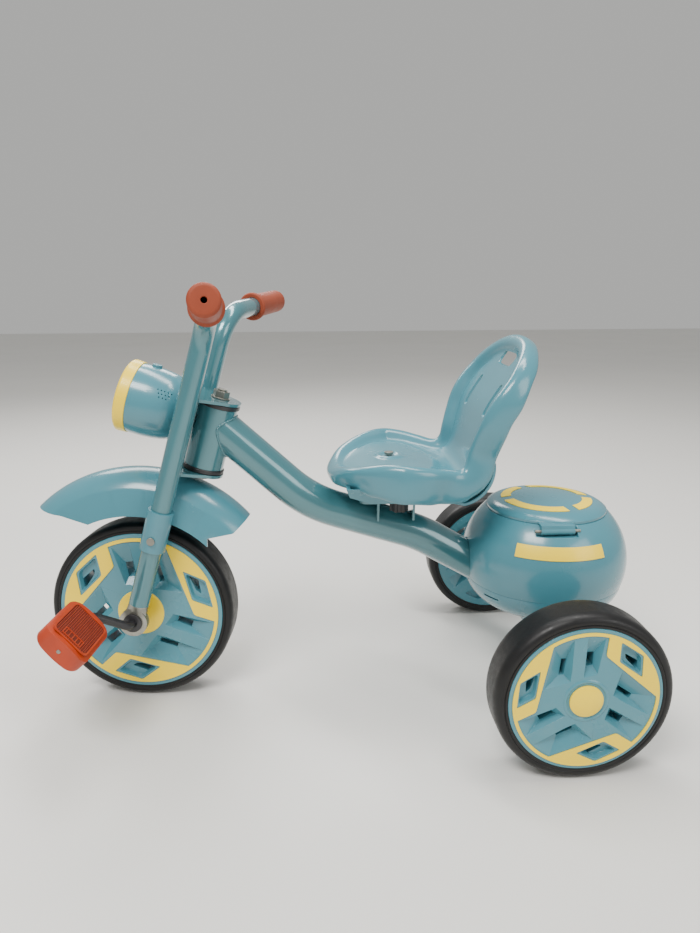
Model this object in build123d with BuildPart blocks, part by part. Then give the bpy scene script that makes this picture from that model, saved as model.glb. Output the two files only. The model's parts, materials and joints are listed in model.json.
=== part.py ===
from build123d import *
from math import cos, radians, sin, sqrt
import os

os.makedirs("parts", exist_ok=True)

# Frame of the part: +X forward, +Y to the rider's left, +Z up, ground at z = 0, millimetres.
# The steering and the crank stand a little turned at rest, as when the tricycle is parked.

# ---------------------------------------------------------------- driving dimensions
WHEELBASE = 514.4
REAR_AXLE_X = -256.4
REAR_RADIUS = 100.0
REAR_OUTER_Y = 229.2          # outer face of a rear wheel's hub
REAR_WIDTH = 48.0
FRONT_RADIUS = 120.0
FRONT_WIDTH = 50.0

LEAN = 16.5                   # steering axis, from upright
STEER_AT_REST = -6.0
AXLE_LEAD = 28.0              # front axle ahead of the steering axis
LEG_Y = 50.0                  # fork leg to the centre plane
TUBE_R = 12.7
CRANK_R = 5.3
CRANK_THROW = 45.2
CRANK_ANGLE = 33.6            # left crank above the forward horizontal, at rest
PEDAL_TILT = 48.0

WALL = 1.5                    # steel tube wall
SHELL = 2.6                   # moulded wall
FIT = 0.05                    # radial running clearance
GAP = 0.35                    # between bodies that move past each other

MAIN_TUBE_R = 24.0
HEAD_TUBE_R = 25.0
AXLE_R = 6.0

# ---------------------------------------------------------------- reference frames
crown_slope = sin(radians(abs(STEER_AT_REST))) * sin(radians(LEAN))
TREAD_HALF = 13.0             # half of the tyre's flat tread
FRONT_AXLE_Z = FRONT_RADIUS * sqrt(1 - crown_slope**2) + TREAD_HALF * crown_slope
FRONT_AXLE_X = REAR_AXLE_X + WHEELBASE

# Steering frame: x ahead of the legs, y left, z up along the steering axis, origin at the front axle
lean_up = Vector(-sin(radians(LEAN)), 0, cos(radians(LEAN)))
lean_ahead = Vector(cos(radians(LEAN)), 0, sin(radians(LEAN)))
FORK = Plane(origin=(FRONT_AXLE_X, 0, FRONT_AXLE_Z), x_dir=lean_ahead, z_dir=lean_up)
STEER_AXIS = Axis(FORK.from_local_coords(Vector(-AXLE_LEAD, 0, 0)), lean_up)


def fork_point(ahead, left, up):
    """A point given in the steering frame."""
    return FORK.from_local_coords(Vector(ahead, left, up))


def side_plane(y):
    """Upright drawing plane at a distance to the left, with x forward and y up."""
    return Plane(origin=(0, y, 0), x_dir=(1, 0, 0), z_dir=(0, -1, 0))


def radial_plane(centre):
    """Half-section plane of a wheel: x along the axle, to the left, and y out from it."""
    return Plane(origin=centre, x_dir=(0, 1, 0), z_dir=(1, 0, 0))


def face_plane(centre, y, side):
    """Plane on a wheel's face at y from its centre, y up, looking into the wheel from that side."""
    return Plane(origin=(centre[0], centre[1] + y, centre[2]), x_dir=(side, 0, 0), z_dir=(0, -side, 0))


def write(piece, label):
    """Name a finished piece and write it."""
    piece.part.label = label
    export_step(piece.part, f"parts/{label}.step")


def write_steered(piece, label):
    """Turn a piece of the steering to its place at rest, then write it."""
    piece.part = piece.part.rotate(STEER_AXIS, STEER_AT_REST)
    write(piece, label)


# ================================================================= frame
head_low = 209.5              # steering frame heights of the head tube's ends
head_high = 288.5
head_tip = fork_point(-AXLE_LEAD, 0, (head_low + head_high) / 2 + 18)
tube_knee = Vector(REAR_AXLE_X + 295, 0, 260.5)
tube_saddle = Vector(REAR_AXLE_X + 150, 0, 214.7)
tube_tail = Vector(REAR_AXLE_X + 34, 0, 147.8)

with BuildLine() as tube_path:
    FilletPolyline(head_tip, tube_knee, tube_saddle, tube_tail, radius=(170, 190))
tube_start = Plane(origin=head_tip, z_dir=tube_path.line % 0)

with BuildPart() as main_tube:
    with BuildSketch(tube_start):
        Circle(MAIN_TUBE_R)
        Circle(MAIN_TUBE_R - WALL, mode=Mode.SUBTRACT)
    sweep(path=tube_path.line)
    with BuildSketch(FORK.offset(head_low - 40)):
        with Locations((-AXLE_LEAD, 0)):
            Circle(HEAD_TUBE_R)
    extrude(amount=head_high - head_low + 90, mode=Mode.SUBTRACT)
    with BuildSketch(FORK.offset(head_low - 40)):
        with Locations((-AXLE_LEAD + HEAD_TUBE_R, 0)):
            Rectangle(2 * HEAD_TUBE_R, 4 * HEAD_TUBE_R)
    extrude(amount=head_high - head_low + 90, mode=Mode.SUBTRACT)
write(main_tube, "main_tube")

with BuildPart() as head_tube:
    with BuildSketch(FORK.offset(head_low)):
        with Locations((-AXLE_LEAD, 0)):
            Circle(HEAD_TUBE_R - 0.02)
            Circle(HEAD_TUBE_R - 2.5, mode=Mode.SUBTRACT)
    extrude(amount=head_high - head_low)
write(head_tube, "head_tube")

bush_r = 26.6
bush_flange = 5.6
bolt_r = 6.0


# Flanged plastic bushes pressed into both ends of the head tube
with BuildPart() as headset_bushes:
    for height, up in ((head_low, -1), (head_high, 1)):
        with BuildSketch(FORK.offset(height)):
            with Locations((-AXLE_LEAD, 0)):
                Circle(bush_r)
        extrude(amount=up * bush_flange)
    chamfer(headset_bushes.edges().filter_by(GeomType.CIRCLE), 0.8)
    for height, up in ((head_low, -1), (head_high, 1)):
        with BuildSketch(FORK.offset(height)):
            with Locations((-AXLE_LEAD, 0)):
                Circle(HEAD_TUBE_R - 2.6)
        extrude(amount=-up * 14)
    with BuildSketch(FORK.offset(head_low - 10)):
        with Locations((-AXLE_LEAD, 0)):
            Circle(bolt_r + FIT)
    extrude(amount=head_high - head_low + 20, mode=Mode.SUBTRACT)
write(headset_bushes, "headset_bushes")

# Seat bracket: a slotted plate on two saddles that stand on the main tube
plate_top = 276.0
plate_thick = 3.0
knob_y = 45.0
knob_x = REAR_AXLE_X + 182
seat_back_travel = 12.0
seat_ahead_travel = 25.0
saddle_xs = (REAR_AXLE_X + 160, REAR_AXLE_X + 206)

with BuildPart() as seat_bracket:
    with BuildSketch(Plane.XY.offset(plate_top - plate_thick)):
        with Locations((REAR_AXLE_X + 182, 0)):
            RectangleRounded(100, 116, 10)
        with Locations((knob_x + (seat_ahead_travel - seat_back_travel) / 2, knob_y)):
            SlotOverall(seat_back_travel + seat_ahead_travel + 7.2, 7.2, mode=Mode.SUBTRACT)
        with Locations((knob_x + (seat_ahead_travel - seat_back_travel) / 2, -knob_y)):
            SlotOverall(seat_back_travel + seat_ahead_travel + 7.2, 7.2, mode=Mode.SUBTRACT)
    extrude(amount=plate_thick)
    for saddle_x in saddle_xs:
        with BuildSketch(Plane(origin=(saddle_x, 0, plate_top - plate_thick), x_dir=(0, 1, 0), z_dir=(1, 0, 0))):
            with BuildLine():
                Polyline((-31, 0), (31, 0), (24.5, -34), (-24.5, -34), close=True)
            make_face()
        extrude(amount=1.5, both=True)
    with BuildSketch(tube_start):
        Circle(MAIN_TUBE_R + 0.02)
    sweep(path=tube_path.line, mode=Mode.SUBTRACT)
    seat_bracket_plate = seat_bracket.solids().sort_by(SortBy.VOLUME)[-1]
seat_bracket.part = Part(seat_bracket_plate.wrapped)
write(seat_bracket, "seat_bracket")

# Axle carrier: a cross tube for the axle, with two cheeks up to the main tube's end
carrier_r = 11.0
carrier_half = 150.0
cheek_y = MAIN_TUBE_R + 0.1

with BuildPart() as axle_carrier:
    with BuildSketch(side_plane(0)):
        with Locations((REAR_AXLE_X, REAR_RADIUS)):
            Circle(carrier_r)
    extrude(amount=carrier_half, both=True)
    for side in (-1, 1):
        with BuildSketch(side_plane(side * (cheek_y + 2))):
            with BuildLine():
                Polyline(
                    (REAR_AXLE_X - 9, REAR_RADIUS),
                    (REAR_AXLE_X + 9, REAR_RADIUS),
                    (REAR_AXLE_X + 62, 158),
                    (REAR_AXLE_X + 40, 172),
                    (REAR_AXLE_X + 8, 140),
                    close=True,
                )
            make_face()
        extrude(amount=2, both=True)
    with BuildSketch(side_plane(0)):
        with Locations((REAR_AXLE_X, REAR_RADIUS)):
            Circle(AXLE_R + FIT)
    extrude(amount=carrier_half + 1, both=True, mode=Mode.SUBTRACT)
write(axle_carrier, "axle_carrier")

with BuildPart() as rear_axle:
    with BuildSketch(side_plane(0)):
        with Locations((REAR_AXLE_X, REAR_RADIUS)):
            Circle(AXLE_R)
    extrude(amount=REAR_OUTER_Y - 0.5, both=True)
    chamfer(rear_axle.edges().filter_by(GeomType.CIRCLE), 0.8)
write(rear_axle, "rear_axle")

# ================================================================= storage box
BOX_X = REAR_AXLE_X - 22
seam_z = 152.0
floor_z = 113.0
waist_z = 180.0               # height of the box's widest ring
waist_r = 108.0
ball_r = 89.4                 # radius of the shell's curve in section
top_z = 246.0
mouth_r = 70.0
lid_r = 77.5
tray_floor_z = 194.0
box_side = Plane(origin=(BOX_X, 0, 0), x_dir=(1, 0, 0), z_dir=(0, -1, 0))
BOX_AXIS = Axis((BOX_X, 0, 0), (0, 0, 1))


def shell_r(height, inset=0.0):
    """Radius of the upper shell at a height, or of a surface inset from it."""
    return waist_r - ball_r + sqrt((ball_r - inset) ** 2 - (height - waist_z) ** 2)


def dome_point(rim_r, rim_z, top, at_r):
    """Height at a radius on a dome whose top is square to its axis."""
    dome = (rim_r**2 + (top - rim_z) ** 2) / (2 * (top - rim_z))
    return top - dome + sqrt(dome**2 - at_r**2)


# The main tube's outside with a small gap, cut away where the tube enters the box
with BuildPart() as tube_envelope:
    with BuildSketch(tube_start):
        Circle(MAIN_TUBE_R + 0.4)
    sweep(path=tube_path.line)

seam_r = shell_r(seam_z)
with BuildPart() as box_lower_shell:
    with BuildSketch(box_side):
        with BuildLine():
            Polyline((0, floor_z), (64, floor_z))
            ThreePointArc((64, floor_z), (92, 128), (seam_r, seam_z - 0.3))
            Polyline((seam_r, seam_z - 0.3), (seam_r - SHELL, seam_z - 0.3))
            ThreePointArc((seam_r - SHELL, seam_z - 0.3), (90, 129.5), (63, floor_z + SHELL))
            Polyline((63, floor_z + SHELL), (0, floor_z + SHELL), (0, floor_z))
        make_face()
    revolve(axis=BOX_AXIS)
    with BuildSketch(Plane.XY.offset(floor_z - 5)):
        with Locations((REAR_AXLE_X + 22, 0)):
            Rectangle(76, 2 * (cheek_y + 5))
    extrude(amount=12, mode=Mode.SUBTRACT)
    # Finger slots under the seam, towards the front on both sides
    for slot_side in (-1, 1):
        slot_plane = Plane(origin=(BOX_X, 0, 0)).rotated((0, 0, slot_side * 34)).offset(141)
        with BuildSketch(slot_plane):
            with Locations((100, 0)):
                Rectangle(30, 24)
        extrude(amount=2.6, mode=Mode.SUBTRACT)
    add(tube_envelope.part, mode=Mode.SUBTRACT)
write(box_lower_shell, "box_lower_shell")

hinge_x = REAR_AXLE_X - 10
hinge_y = 83.0
hinge_z = 241.0
hinge_half = 25.0
hinge_pin_r = 2.0

with BuildPart() as box_upper_shell:
    with BuildSketch(box_side):
        with BuildLine():
            ThreePointArc((seam_r, seam_z), (waist_r, waist_z), (shell_r(top_z), top_z))
            Polyline((shell_r(top_z), top_z), (0, top_z), (0, seam_z), (seam_r, seam_z))
        make_face()
    revolve(axis=BOX_AXIS)
    with BuildSketch(box_side):
        with BuildLine():
            ThreePointArc(
                (shell_r(seam_z, SHELL), seam_z),
                (waist_r - SHELL, waist_z),
                (shell_r(top_z - 2.2, SHELL), top_z - 2.2),
            )
            Polyline(
                (shell_r(top_z - 2.2, SHELL), top_z - 2.2),
                (mouth_r, top_z - 2.2),
                (mouth_r, top_z),
                (0, top_z),
                (0, seam_z),
                (shell_r(seam_z, SHELL), seam_z),
            )
        make_face()
    revolve(axis=BOX_AXIS, mode=Mode.SUBTRACT)
    add(tube_envelope.part, mode=Mode.SUBTRACT)
    box_upper_body = box_upper_shell.solids().sort_by(SortBy.VOLUME)[-1]

# Housing for the lid hinge: a block trimmed to the ball's outside
with BuildPart() as hinge_housing:
    with BuildSketch(box_side):
        with BuildLine():
            ThreePointArc((seam_r, seam_z), (waist_r, waist_z), (shell_r(top_z), top_z))
            Polyline((shell_r(top_z), top_z), (0, top_z), (0, seam_z), (seam_r, seam_z))
        make_face()
    revolve(axis=BOX_AXIS)
    with BuildSketch(Plane.XY.offset(top_z - 17)):
        with Locations((hinge_x, 73.5 + 15)):
            Rectangle(2 * hinge_half + 12, 30)
    extrude(amount=17, mode=Mode.INTERSECT)

with BuildPart() as box_top:
    add(box_upper_body)
    add(hinge_housing.part)
    with BuildSketch(Plane.XY.offset(top_z - 12)):
        with Locations((hinge_x, hinge_y - 5.5 + 15)):
            Rectangle(2 * hinge_half, 30)
    extrude(amount=20, mode=Mode.SUBTRACT)
    with BuildSketch(Plane.YZ.offset(hinge_x)):
        with Locations((hinge_y, hinge_z)):
            Circle(hinge_pin_r + FIT)
    extrude(amount=hinge_half + 4, both=True, mode=Mode.SUBTRACT)
write(box_top, "box_upper_shell")

with BuildPart() as lid_hinge_pin:
    with BuildSketch(Plane.YZ.offset(hinge_x)):
        with Locations((hinge_y, hinge_z)):
            Circle(hinge_pin_r)
    extrude(amount=hinge_half + 3.6, both=True)
write(lid_hinge_pin, "lid_hinge_pin")

with BuildPart() as box_tray:
    with BuildSketch(box_side):
        with BuildLine():
            Polyline(
                (0, tray_floor_z),
                (mouth_r - 6, tray_floor_z),
                (mouth_r + 2, tray_floor_z + 8),
                (mouth_r + 2, top_z - 2.5),
                (mouth_r + 0.2, top_z - 2.5),
                (mouth_r + 0.2, tray_floor_z + 9),
                (mouth_r - 7, tray_floor_z + 2),
                (0, tray_floor_z + 2),
                close=True,
            )
        make_face()
    revolve(axis=BOX_AXIS)
write(box_tray, "box_tray")

band_low = 209.0
band_high = 224.5
band_thick = 0.9
with BuildPart() as box_side_bands:
    for band_side in (-1, 1):
        start = Plane(origin=(BOX_X, 0, 0), x_dir=(cos(radians(52)), band_side * sin(radians(52)), 0),
                      z_dir=(band_side * sin(radians(52)), -cos(radians(52)), 0))
        with BuildSketch(start):
            with BuildLine():
                ThreePointArc(
                    (shell_r(band_low, -0.02), band_low),
                    (shell_r(217, -0.02), 217),
                    (shell_r(band_high, -0.02), band_high),
                )
                Line((shell_r(band_high, -0.02), band_high), (shell_r(band_high, -band_thick), band_high))
                ThreePointArc(
                    (shell_r(band_high, -band_thick), band_high),
                    (shell_r(217, -band_thick), 217),
                    (shell_r(band_low, -band_thick), band_low),
                )
                Line((shell_r(band_low, -band_thick), band_low), (shell_r(band_low, -0.02), band_low))
            make_face()
        revolve(axis=Axis((BOX_X, 0, 0), (0, 0, band_side)), revolution_arc=64)
write(box_side_bands, "box_side_bands")

# ---------------------------------------------------------------- lid
lid_edge_z = top_z + 0.4
lid_top_z = 262.5
lid_ring_in = 46.0
lid_ring_out = 59.0
lid_shoulder_z = lid_edge_z + 3.4
lid_crown_z = 257.8


def crown_height(at_r):
    """Height of the lid's crown at a radius inside its trim ring."""
    return dome_point(lid_ring_out, lid_crown_z, lid_top_z, at_r)


with BuildPart() as box_lid:
    with BuildSketch(box_side):
        with BuildLine():
            ThreePointArc((lid_r, lid_shoulder_z), (lid_r - 7, lid_crown_z - 3), (lid_ring_out, lid_crown_z))
            ThreePointArc((lid_ring_out, lid_crown_z), (30, crown_height(30)), (0, lid_top_z))
            Polyline((0, lid_top_z), (0, lid_top_z - SHELL))
            ThreePointArc(
                (0, lid_top_z - SHELL), (30, crown_height(30) - SHELL), (lid_ring_out, lid_crown_z - SHELL)
            )
            Polyline(
                (lid_ring_out, lid_crown_z - SHELL),
                (lid_r - SHELL, lid_shoulder_z - 1.2),
                (lid_r - SHELL, lid_edge_z),
                (lid_r, lid_edge_z),
                (lid_r, lid_shoulder_z),
            )
        make_face()
    revolve(axis=BOX_AXIS)
    # Hinge arm and knuckle
    with BuildSketch(Plane.YZ.offset(hinge_x)):
        with BuildLine():
            Polyline(
                (lid_r - 9, lid_edge_z + 0.6),
                (hinge_y - 3.4, lid_edge_z + 0.6),
                (hinge_y - 3, hinge_z),
                (hinge_y + 3, hinge_z),
                (hinge_y + 2.2, lid_edge_z + 2.4),
                (lid_r - 9, lid_edge_z + 2.8),
                close=True,
            )
        make_face()
        with Locations((hinge_y, hinge_z)):
            Circle(4.2)
    extrude(amount=hinge_half - 4, both=True)
    with BuildSketch(Plane.YZ.offset(hinge_x)):
        with Locations((hinge_y, hinge_z)):
            Circle(hinge_pin_r + FIT)
    extrude(amount=hinge_half, both=True, mode=Mode.SUBTRACT)
write(box_lid, "box_lid")

# Yellow trim: two long and two short arcs standing on the lid
with BuildPart() as lid_trim:
    with BuildSketch(box_side):
        with BuildLine():
            ThreePointArc((lid_ring_out, lid_crown_z + 0.9), (30, crown_height(30) + 0.9), (0, lid_top_z + 0.9))
            Line((0, lid_top_z + 0.9), (0, lid_top_z + 0.02))
            ThreePointArc((0, lid_top_z + 0.02), (30, crown_height(30) + 0.02), (lid_ring_out, lid_crown_z + 0.02))
            Line((lid_ring_out, lid_crown_z + 0.02), (lid_ring_out, lid_crown_z + 0.9))
        make_face()
    revolve(axis=BOX_AXIS)
    with BuildSketch(Plane.XY.offset(top_z)):
        with Locations((BOX_X, 0)):
            Circle(lid_ring_out)
            Circle(lid_ring_in, mode=Mode.SUBTRACT)
            for gap_angle in (0, 108, 180, 288):
                with Locations(Location((0, 0), gap_angle)):
                    with Locations(((lid_ring_in + lid_ring_out) / 2, 0)):
                        Rectangle(30, 14, mode=Mode.SUBTRACT)
    extrude(amount=30, mode=Mode.INTERSECT)
write(lid_trim, "lid_trim")

# ================================================================= wheels
# Outlines on a wheel's face, as (degrees from the patch's middle, share of the disc's radius)
PATCH_COUNT = 3
PATCH = ((-37, 0.93), (33, 0.66), (37, 0.93))
WINDOW = ((26, 0.90), (3, 0.92), (-15, 0.76), (16, 0.65))
WINDOW_SLOT = ((14, 0.77), (-2, 0.83), (-10, 0.74), (9, 0.72))
POCKETS = (
    ((-37, 0.89), (-55, 0.88), (-42, 0.47), (-29, 0.35), (3, 0.58)),
    ((-66, 0.88), (-81, 0.89), (-86, 0.39), (-59, 0.33)),
)
POCKET_SLOTS = (
    ((-22, 0.47), (-38, 0.635), (-43, 0.605), (-27, 0.43)),
    ((-69, 0.63), (-76.5, 0.635), (-79, 0.45), (-69.5, 0.44)),
)
pocket_depth = 8.0
trim_thick = 1.2


def face_points(outline, middle, turn, radius, scale=1.0):
    """Corners of an outline on a wheel's face, turned to its patch and scaled about their own middle."""
    corners = []
    for angle, share in outline:
        turned = radians(middle + turn * angle)
        corners.append(Vector(radius * share * cos(turned), radius * share * sin(turned)))
    balance = sum(corners, Vector(0, 0)) / len(corners)
    return [balance + (corner - balance) * scale for corner in corners]


def hub_half(centre, side, inner_y, outer_y, disc_r, drum_r, bore_r, boss_r, phase, turn):
    """One moulded half of a wheel's hub: a deep dish with a drum wall, boss and flange."""
    with BuildPart() as half:
        with BuildSketch(radial_plane(centre)):
            with BuildLine():
                Polyline(
                    (side * inner_y, bore_r),
                    (side * outer_y, bore_r),
                    (side * outer_y, disc_r - 1),
                    (side * (outer_y - 1), disc_r),
                    (side * (outer_y - 3), disc_r),
                    (side * (outer_y - 3), drum_r),
                    (side * inner_y, drum_r),
                    (side * inner_y, drum_r - 3),
                    (side * (outer_y - 12), drum_r - 3),
                    (side * (outer_y - 12), boss_r),
                    (side * inner_y, boss_r),
                    close=True,
                )
            make_face()
        revolve(axis=Axis(centre, (0, 1, 0)))
        # Window pits, wedge pockets and their through slots
        face = face_plane(centre, side * outer_y, side)
        for index in range(PATCH_COUNT):
            middle = phase + 120 * index
            with BuildSketch(face):
                Polygon(*face_points(WINDOW, middle, turn, disc_r, 0.82), align=None)
            extrude(amount=pocket_depth - 2, taper=12, mode=Mode.SUBTRACT)
            with BuildSketch(face):
                Polygon(*face_points(WINDOW_SLOT, middle, turn, disc_r), align=None)
            extrude(amount=30, mode=Mode.SUBTRACT)
            for pocket in POCKETS:
                with BuildSketch(face):
                    Polygon(*face_points(pocket, middle, turn, disc_r), align=None)
                extrude(amount=pocket_depth, taper=20, mode=Mode.SUBTRACT)
            for pocket_slot in POCKET_SLOTS:
                with BuildSketch(face):
                    Polygon(*face_points(pocket_slot, middle, turn, disc_r), align=None)
                extrude(amount=30, mode=Mode.SUBTRACT)
    return half


def wheel_tyre(centre, radius, half_width, disc_r, drum_r):
    """Soft tyre with rounded shoulders, seated between the hub's two flanges."""
    shoulder = radius - disc_r - 0.3
    flat = TREAD_HALF * radius / FRONT_RADIUS
    with BuildPart() as tyre:
        with BuildSketch(radial_plane(centre)):
            with BuildLine():
                Polyline(
                    (-half_width, radius - shoulder),
                    (-half_width, disc_r + 0.15),
                    (-half_width + 3.15, disc_r + 0.15),
                    (-half_width + 3.15, drum_r + 0.1),
                    (half_width - 3.15, drum_r + 0.1),
                    (half_width - 3.15, disc_r + 0.15),
                    (half_width, disc_r + 0.15),
                    (half_width, radius - shoulder),
                )
                ThreePointArc(
                    (half_width, radius - shoulder),
                    (half_width - 0.32 * (half_width - flat), radius - 0.3 * shoulder),
                    (flat, radius),
                )
                Line((flat, radius), (-flat, radius))
                ThreePointArc(
                    (-flat, radius),
                    (-half_width + 0.32 * (half_width - flat), radius - 0.3 * shoulder),
                    (-half_width, radius - shoulder),
                )
            make_face()
        revolve(axis=Axis(centre, (0, 1, 0)))
    return tyre


def wheel_trim(centre, side, outer_y, disc_r, phase, turn):
    """Yellow ring with its three patches, lying on one face of the hub."""
    face = face_plane(centre, side * (outer_y + 0.02 + trim_thick), side)
    with BuildPart() as trim:
        with BuildSketch(face):
            Circle(0.945 * disc_r)
            Circle(0.905 * disc_r, mode=Mode.SUBTRACT)
            for index in range(PATCH_COUNT):
                middle = phase + 120 * index
                first, corner, last = face_points(PATCH, middle, turn, disc_r)
                on_ring = face_points(((0, 0.93),), middle, turn, disc_r)[0]
                with BuildLine():
                    Polyline(last, corner, first)
                    ThreePointArc(first, on_ring, last)
                make_face()
            for index in range(PATCH_COUNT):
                Polygon(
                    *face_points(WINDOW, phase + 120 * index, turn, disc_r), align=None, mode=Mode.SUBTRACT
                )
        extrude(amount=trim_thick)
    return trim


# ---------------------------------------------------------------- rear wheels
rear_disc_r = 85.5
rear_drum_r = 77.0
rear_phase = 21.3
rear_turn = -1
rear_mid_y = REAR_OUTER_Y - REAR_WIDTH / 2
for name, side in (("left", 1), ("right", -1)):
    centre = (REAR_AXLE_X, side * rear_mid_y, REAR_RADIUS)
    half = REAR_WIDTH / 2
    outer_hub = hub_half(
        centre, side, 0.1, half, rear_disc_r, rear_drum_r, AXLE_R + FIT, 13, rear_phase, rear_turn
    )
    write(outer_hub, f"rear_{name}_outer_hub")
    inner_hub = hub_half(
        centre, -side, 0.1, half, rear_disc_r, rear_drum_r, AXLE_R + FIT, 13, 180 - rear_phase, -rear_turn
    )
    write(inner_hub, f"rear_{name}_inner_hub")
    write(wheel_tyre(centre, REAR_RADIUS, half, rear_disc_r, rear_drum_r), f"rear_{name}_tyre")
    write(wheel_trim(centre, side, half, rear_disc_r, rear_phase, rear_turn), f"rear_{name}_trim")
    # Domed cap over the axle's end
    with BuildPart() as cap:
        with BuildSketch(radial_plane(centre)):
            with BuildLine():
                Polyline((side * (half + 6), 0), (side * (half + 0.02), 0), (side * (half + 0.02), 18.7))
                Polyline((side * (half + 0.02), 18.7), (side * (half + 2), 18.7))
                ThreePointArc(
                    (side * (half + 2), 18.7),
                    (side * dome_point(18.7, half + 2, half + 6, 10), 10),
                    (side * (half + 6), 0),
                )
            make_face()
        revolve(axis=Axis(centre, (0, 1, 0)))
    write(cap, f"rear_{name}_cap")

# ---------------------------------------------------------------- front wheel
front_centre = (FRONT_AXLE_X, 0, FRONT_AXLE_Z)
front_disc_r = 107.0
front_drum_r = 97.0
front_half = FRONT_WIDTH / 2
front_faces = (("left", 1, 30.0, 1), ("right", -1, 150.0, -1))
for name, side, phase, turn in front_faces:
    front_hub = hub_half(
        front_centre, side, 0.1, front_half, front_disc_r, front_drum_r, CRANK_R + FIT, 16, phase, turn
    )
    write_steered(front_hub, f"front_{name}_hub")
write_steered(wheel_tyre(front_centre, FRONT_RADIUS, front_half, front_disc_r, front_drum_r), "front_tyre")

with BuildPart() as front_wheel_trims:
    for name, side, phase, turn in front_faces:
        add(wheel_trim(front_centre, side, front_half, front_disc_r, phase, turn).part)
write_steered(front_wheel_trims, "front_wheel_trims")

with BuildPart() as front_hub_discs:
    for side in (1, -1):
        with BuildSketch(radial_plane(front_centre)):
            with BuildLine():
                Polyline(
                    (side * (front_half + 0.02), CRANK_R + FIT),
                    (side * (front_half + 0.02), 30.5),
                    (side * (front_half + 1.6), 30.5),
                    (side * (front_half + 2.6), 29.5),
                    (side * (front_half + 2.6), CRANK_R + FIT),
                    close=True,
                )
            make_face()
        revolve(axis=Axis(front_centre, (0, 1, 0)))
write_steered(front_hub_discs, "front_hub_discs")

# Crank: one bent rod through the wheel, plastic coated, with the pedals on its ends
crank_dir = Vector(cos(radians(CRANK_ANGLE)), 0, sin(radians(CRANK_ANGLE)))
crank_knee_y = 70.0
crank_wrist_y = 93.0
crank_end_y = 180.0
hub_centre = Vector(*front_centre)


def crank_point(throw, y):
    """A point on the crank's centre line, at a signed throw along the left arm's direction."""
    return hub_centre + crank_dir * throw + Vector(0, y, 0)


with BuildPart() as crank_axle:
    with BuildLine() as crank_path:
        FilletPolyline(
            crank_point(CRANK_THROW, crank_end_y),
            crank_point(CRANK_THROW, crank_wrist_y),
            crank_point(0, crank_knee_y),
            crank_point(0, -crank_knee_y),
            crank_point(-CRANK_THROW, -crank_wrist_y),
            crank_point(-CRANK_THROW, -crank_end_y),
            radius=11,
        )
    with BuildSketch(Plane(origin=crank_point(CRANK_THROW, crank_end_y), z_dir=(0, -1, 0))):
        Circle(CRANK_R)
    sweep(path=crank_path.line)
write_steered(crank_axle, "crank_axle")

# ---------------------------------------------------------------- pedals
pedal_long = 60.0
pedal_mid = 24.0
pedal_edge = 16.0
pedal_inner_y = 104.5
pedal_outer_y = 183.5
pedal_half_y = (pedal_outer_y - pedal_inner_y) / 2
for name, side in (("left", 1), ("right", -1)):
    spindle = crank_point(side * CRANK_THROW, side * (pedal_inner_y + pedal_half_y))
    ahead = Vector(cos(radians(PEDAL_TILT)), 0, sin(radians(PEDAL_TILT)))
    above = Vector(-sin(radians(PEDAL_TILT)), 0, cos(radians(PEDAL_TILT)))
    # Section across the spindle: x along the pedal, y out of its tread
    across = Plane(origin=spindle, x_dir=ahead, z_dir=(0, -1, 0))
    tread = Plane(origin=spindle, x_dir=ahead, z_dir=above)
    with BuildPart() as pedal:
        with BuildSketch(across):
            with BuildLine():
                ThreePointArc(
                    (-pedal_long / 2, pedal_edge / 2), (0, pedal_mid / 2), (pedal_long / 2, pedal_edge / 2)
                )
                Line((pedal_long / 2, pedal_edge / 2), (pedal_long / 2, -pedal_edge / 2))
                ThreePointArc(
                    (pedal_long / 2, -pedal_edge / 2), (0, -pedal_mid / 2), (-pedal_long / 2, -pedal_edge / 2)
                )
                Line((-pedal_long / 2, -pedal_edge / 2), (-pedal_long / 2, pedal_edge / 2))
            make_face()
        extrude(amount=pedal_half_y, both=True)
        with BuildSketch(tread):
            RectangleRounded(pedal_long, 2 * pedal_half_y, 13)
        extrude(amount=pedal_mid, both=True, mode=Mode.INTERSECT)
        for face_side in (-1, 1):
            with BuildSketch(tread.offset(face_side * (pedal_mid / 2 - 1.6))):
                RectangleRounded(pedal_long - 13, 2 * pedal_half_y - 13, 8)
            extrude(amount=face_side * 8, mode=Mode.SUBTRACT)
        with BuildSketch(Plane(origin=spindle - Vector(0, side * (pedal_half_y + 1), 0), z_dir=(0, side, 0))):
            Circle(CRANK_R + 0.08)
        extrude(amount=crank_end_y - pedal_inner_y + 1.5, mode=Mode.SUBTRACT)
    write_steered(pedal, f"{name}_pedal")

# ================================================================= steering
leg_low = 24.0
bar_corner = 398.0
grip_tip = Vector(-33.1, 230, 423.7)
bar_bend = 50.0
collar_low = 100.0
collar_high = 152.0
collar_bolt_z = 116.0
crown_low = head_low - bush_flange - GAP - 4.0
crown_high = head_high + bush_flange + GAP
bolt_hole = 2.6
grip_dir = (grip_tip - Vector(0, LEG_Y, bar_corner)).normalized()
tube_end = grip_tip - grip_dir * 4

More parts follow.
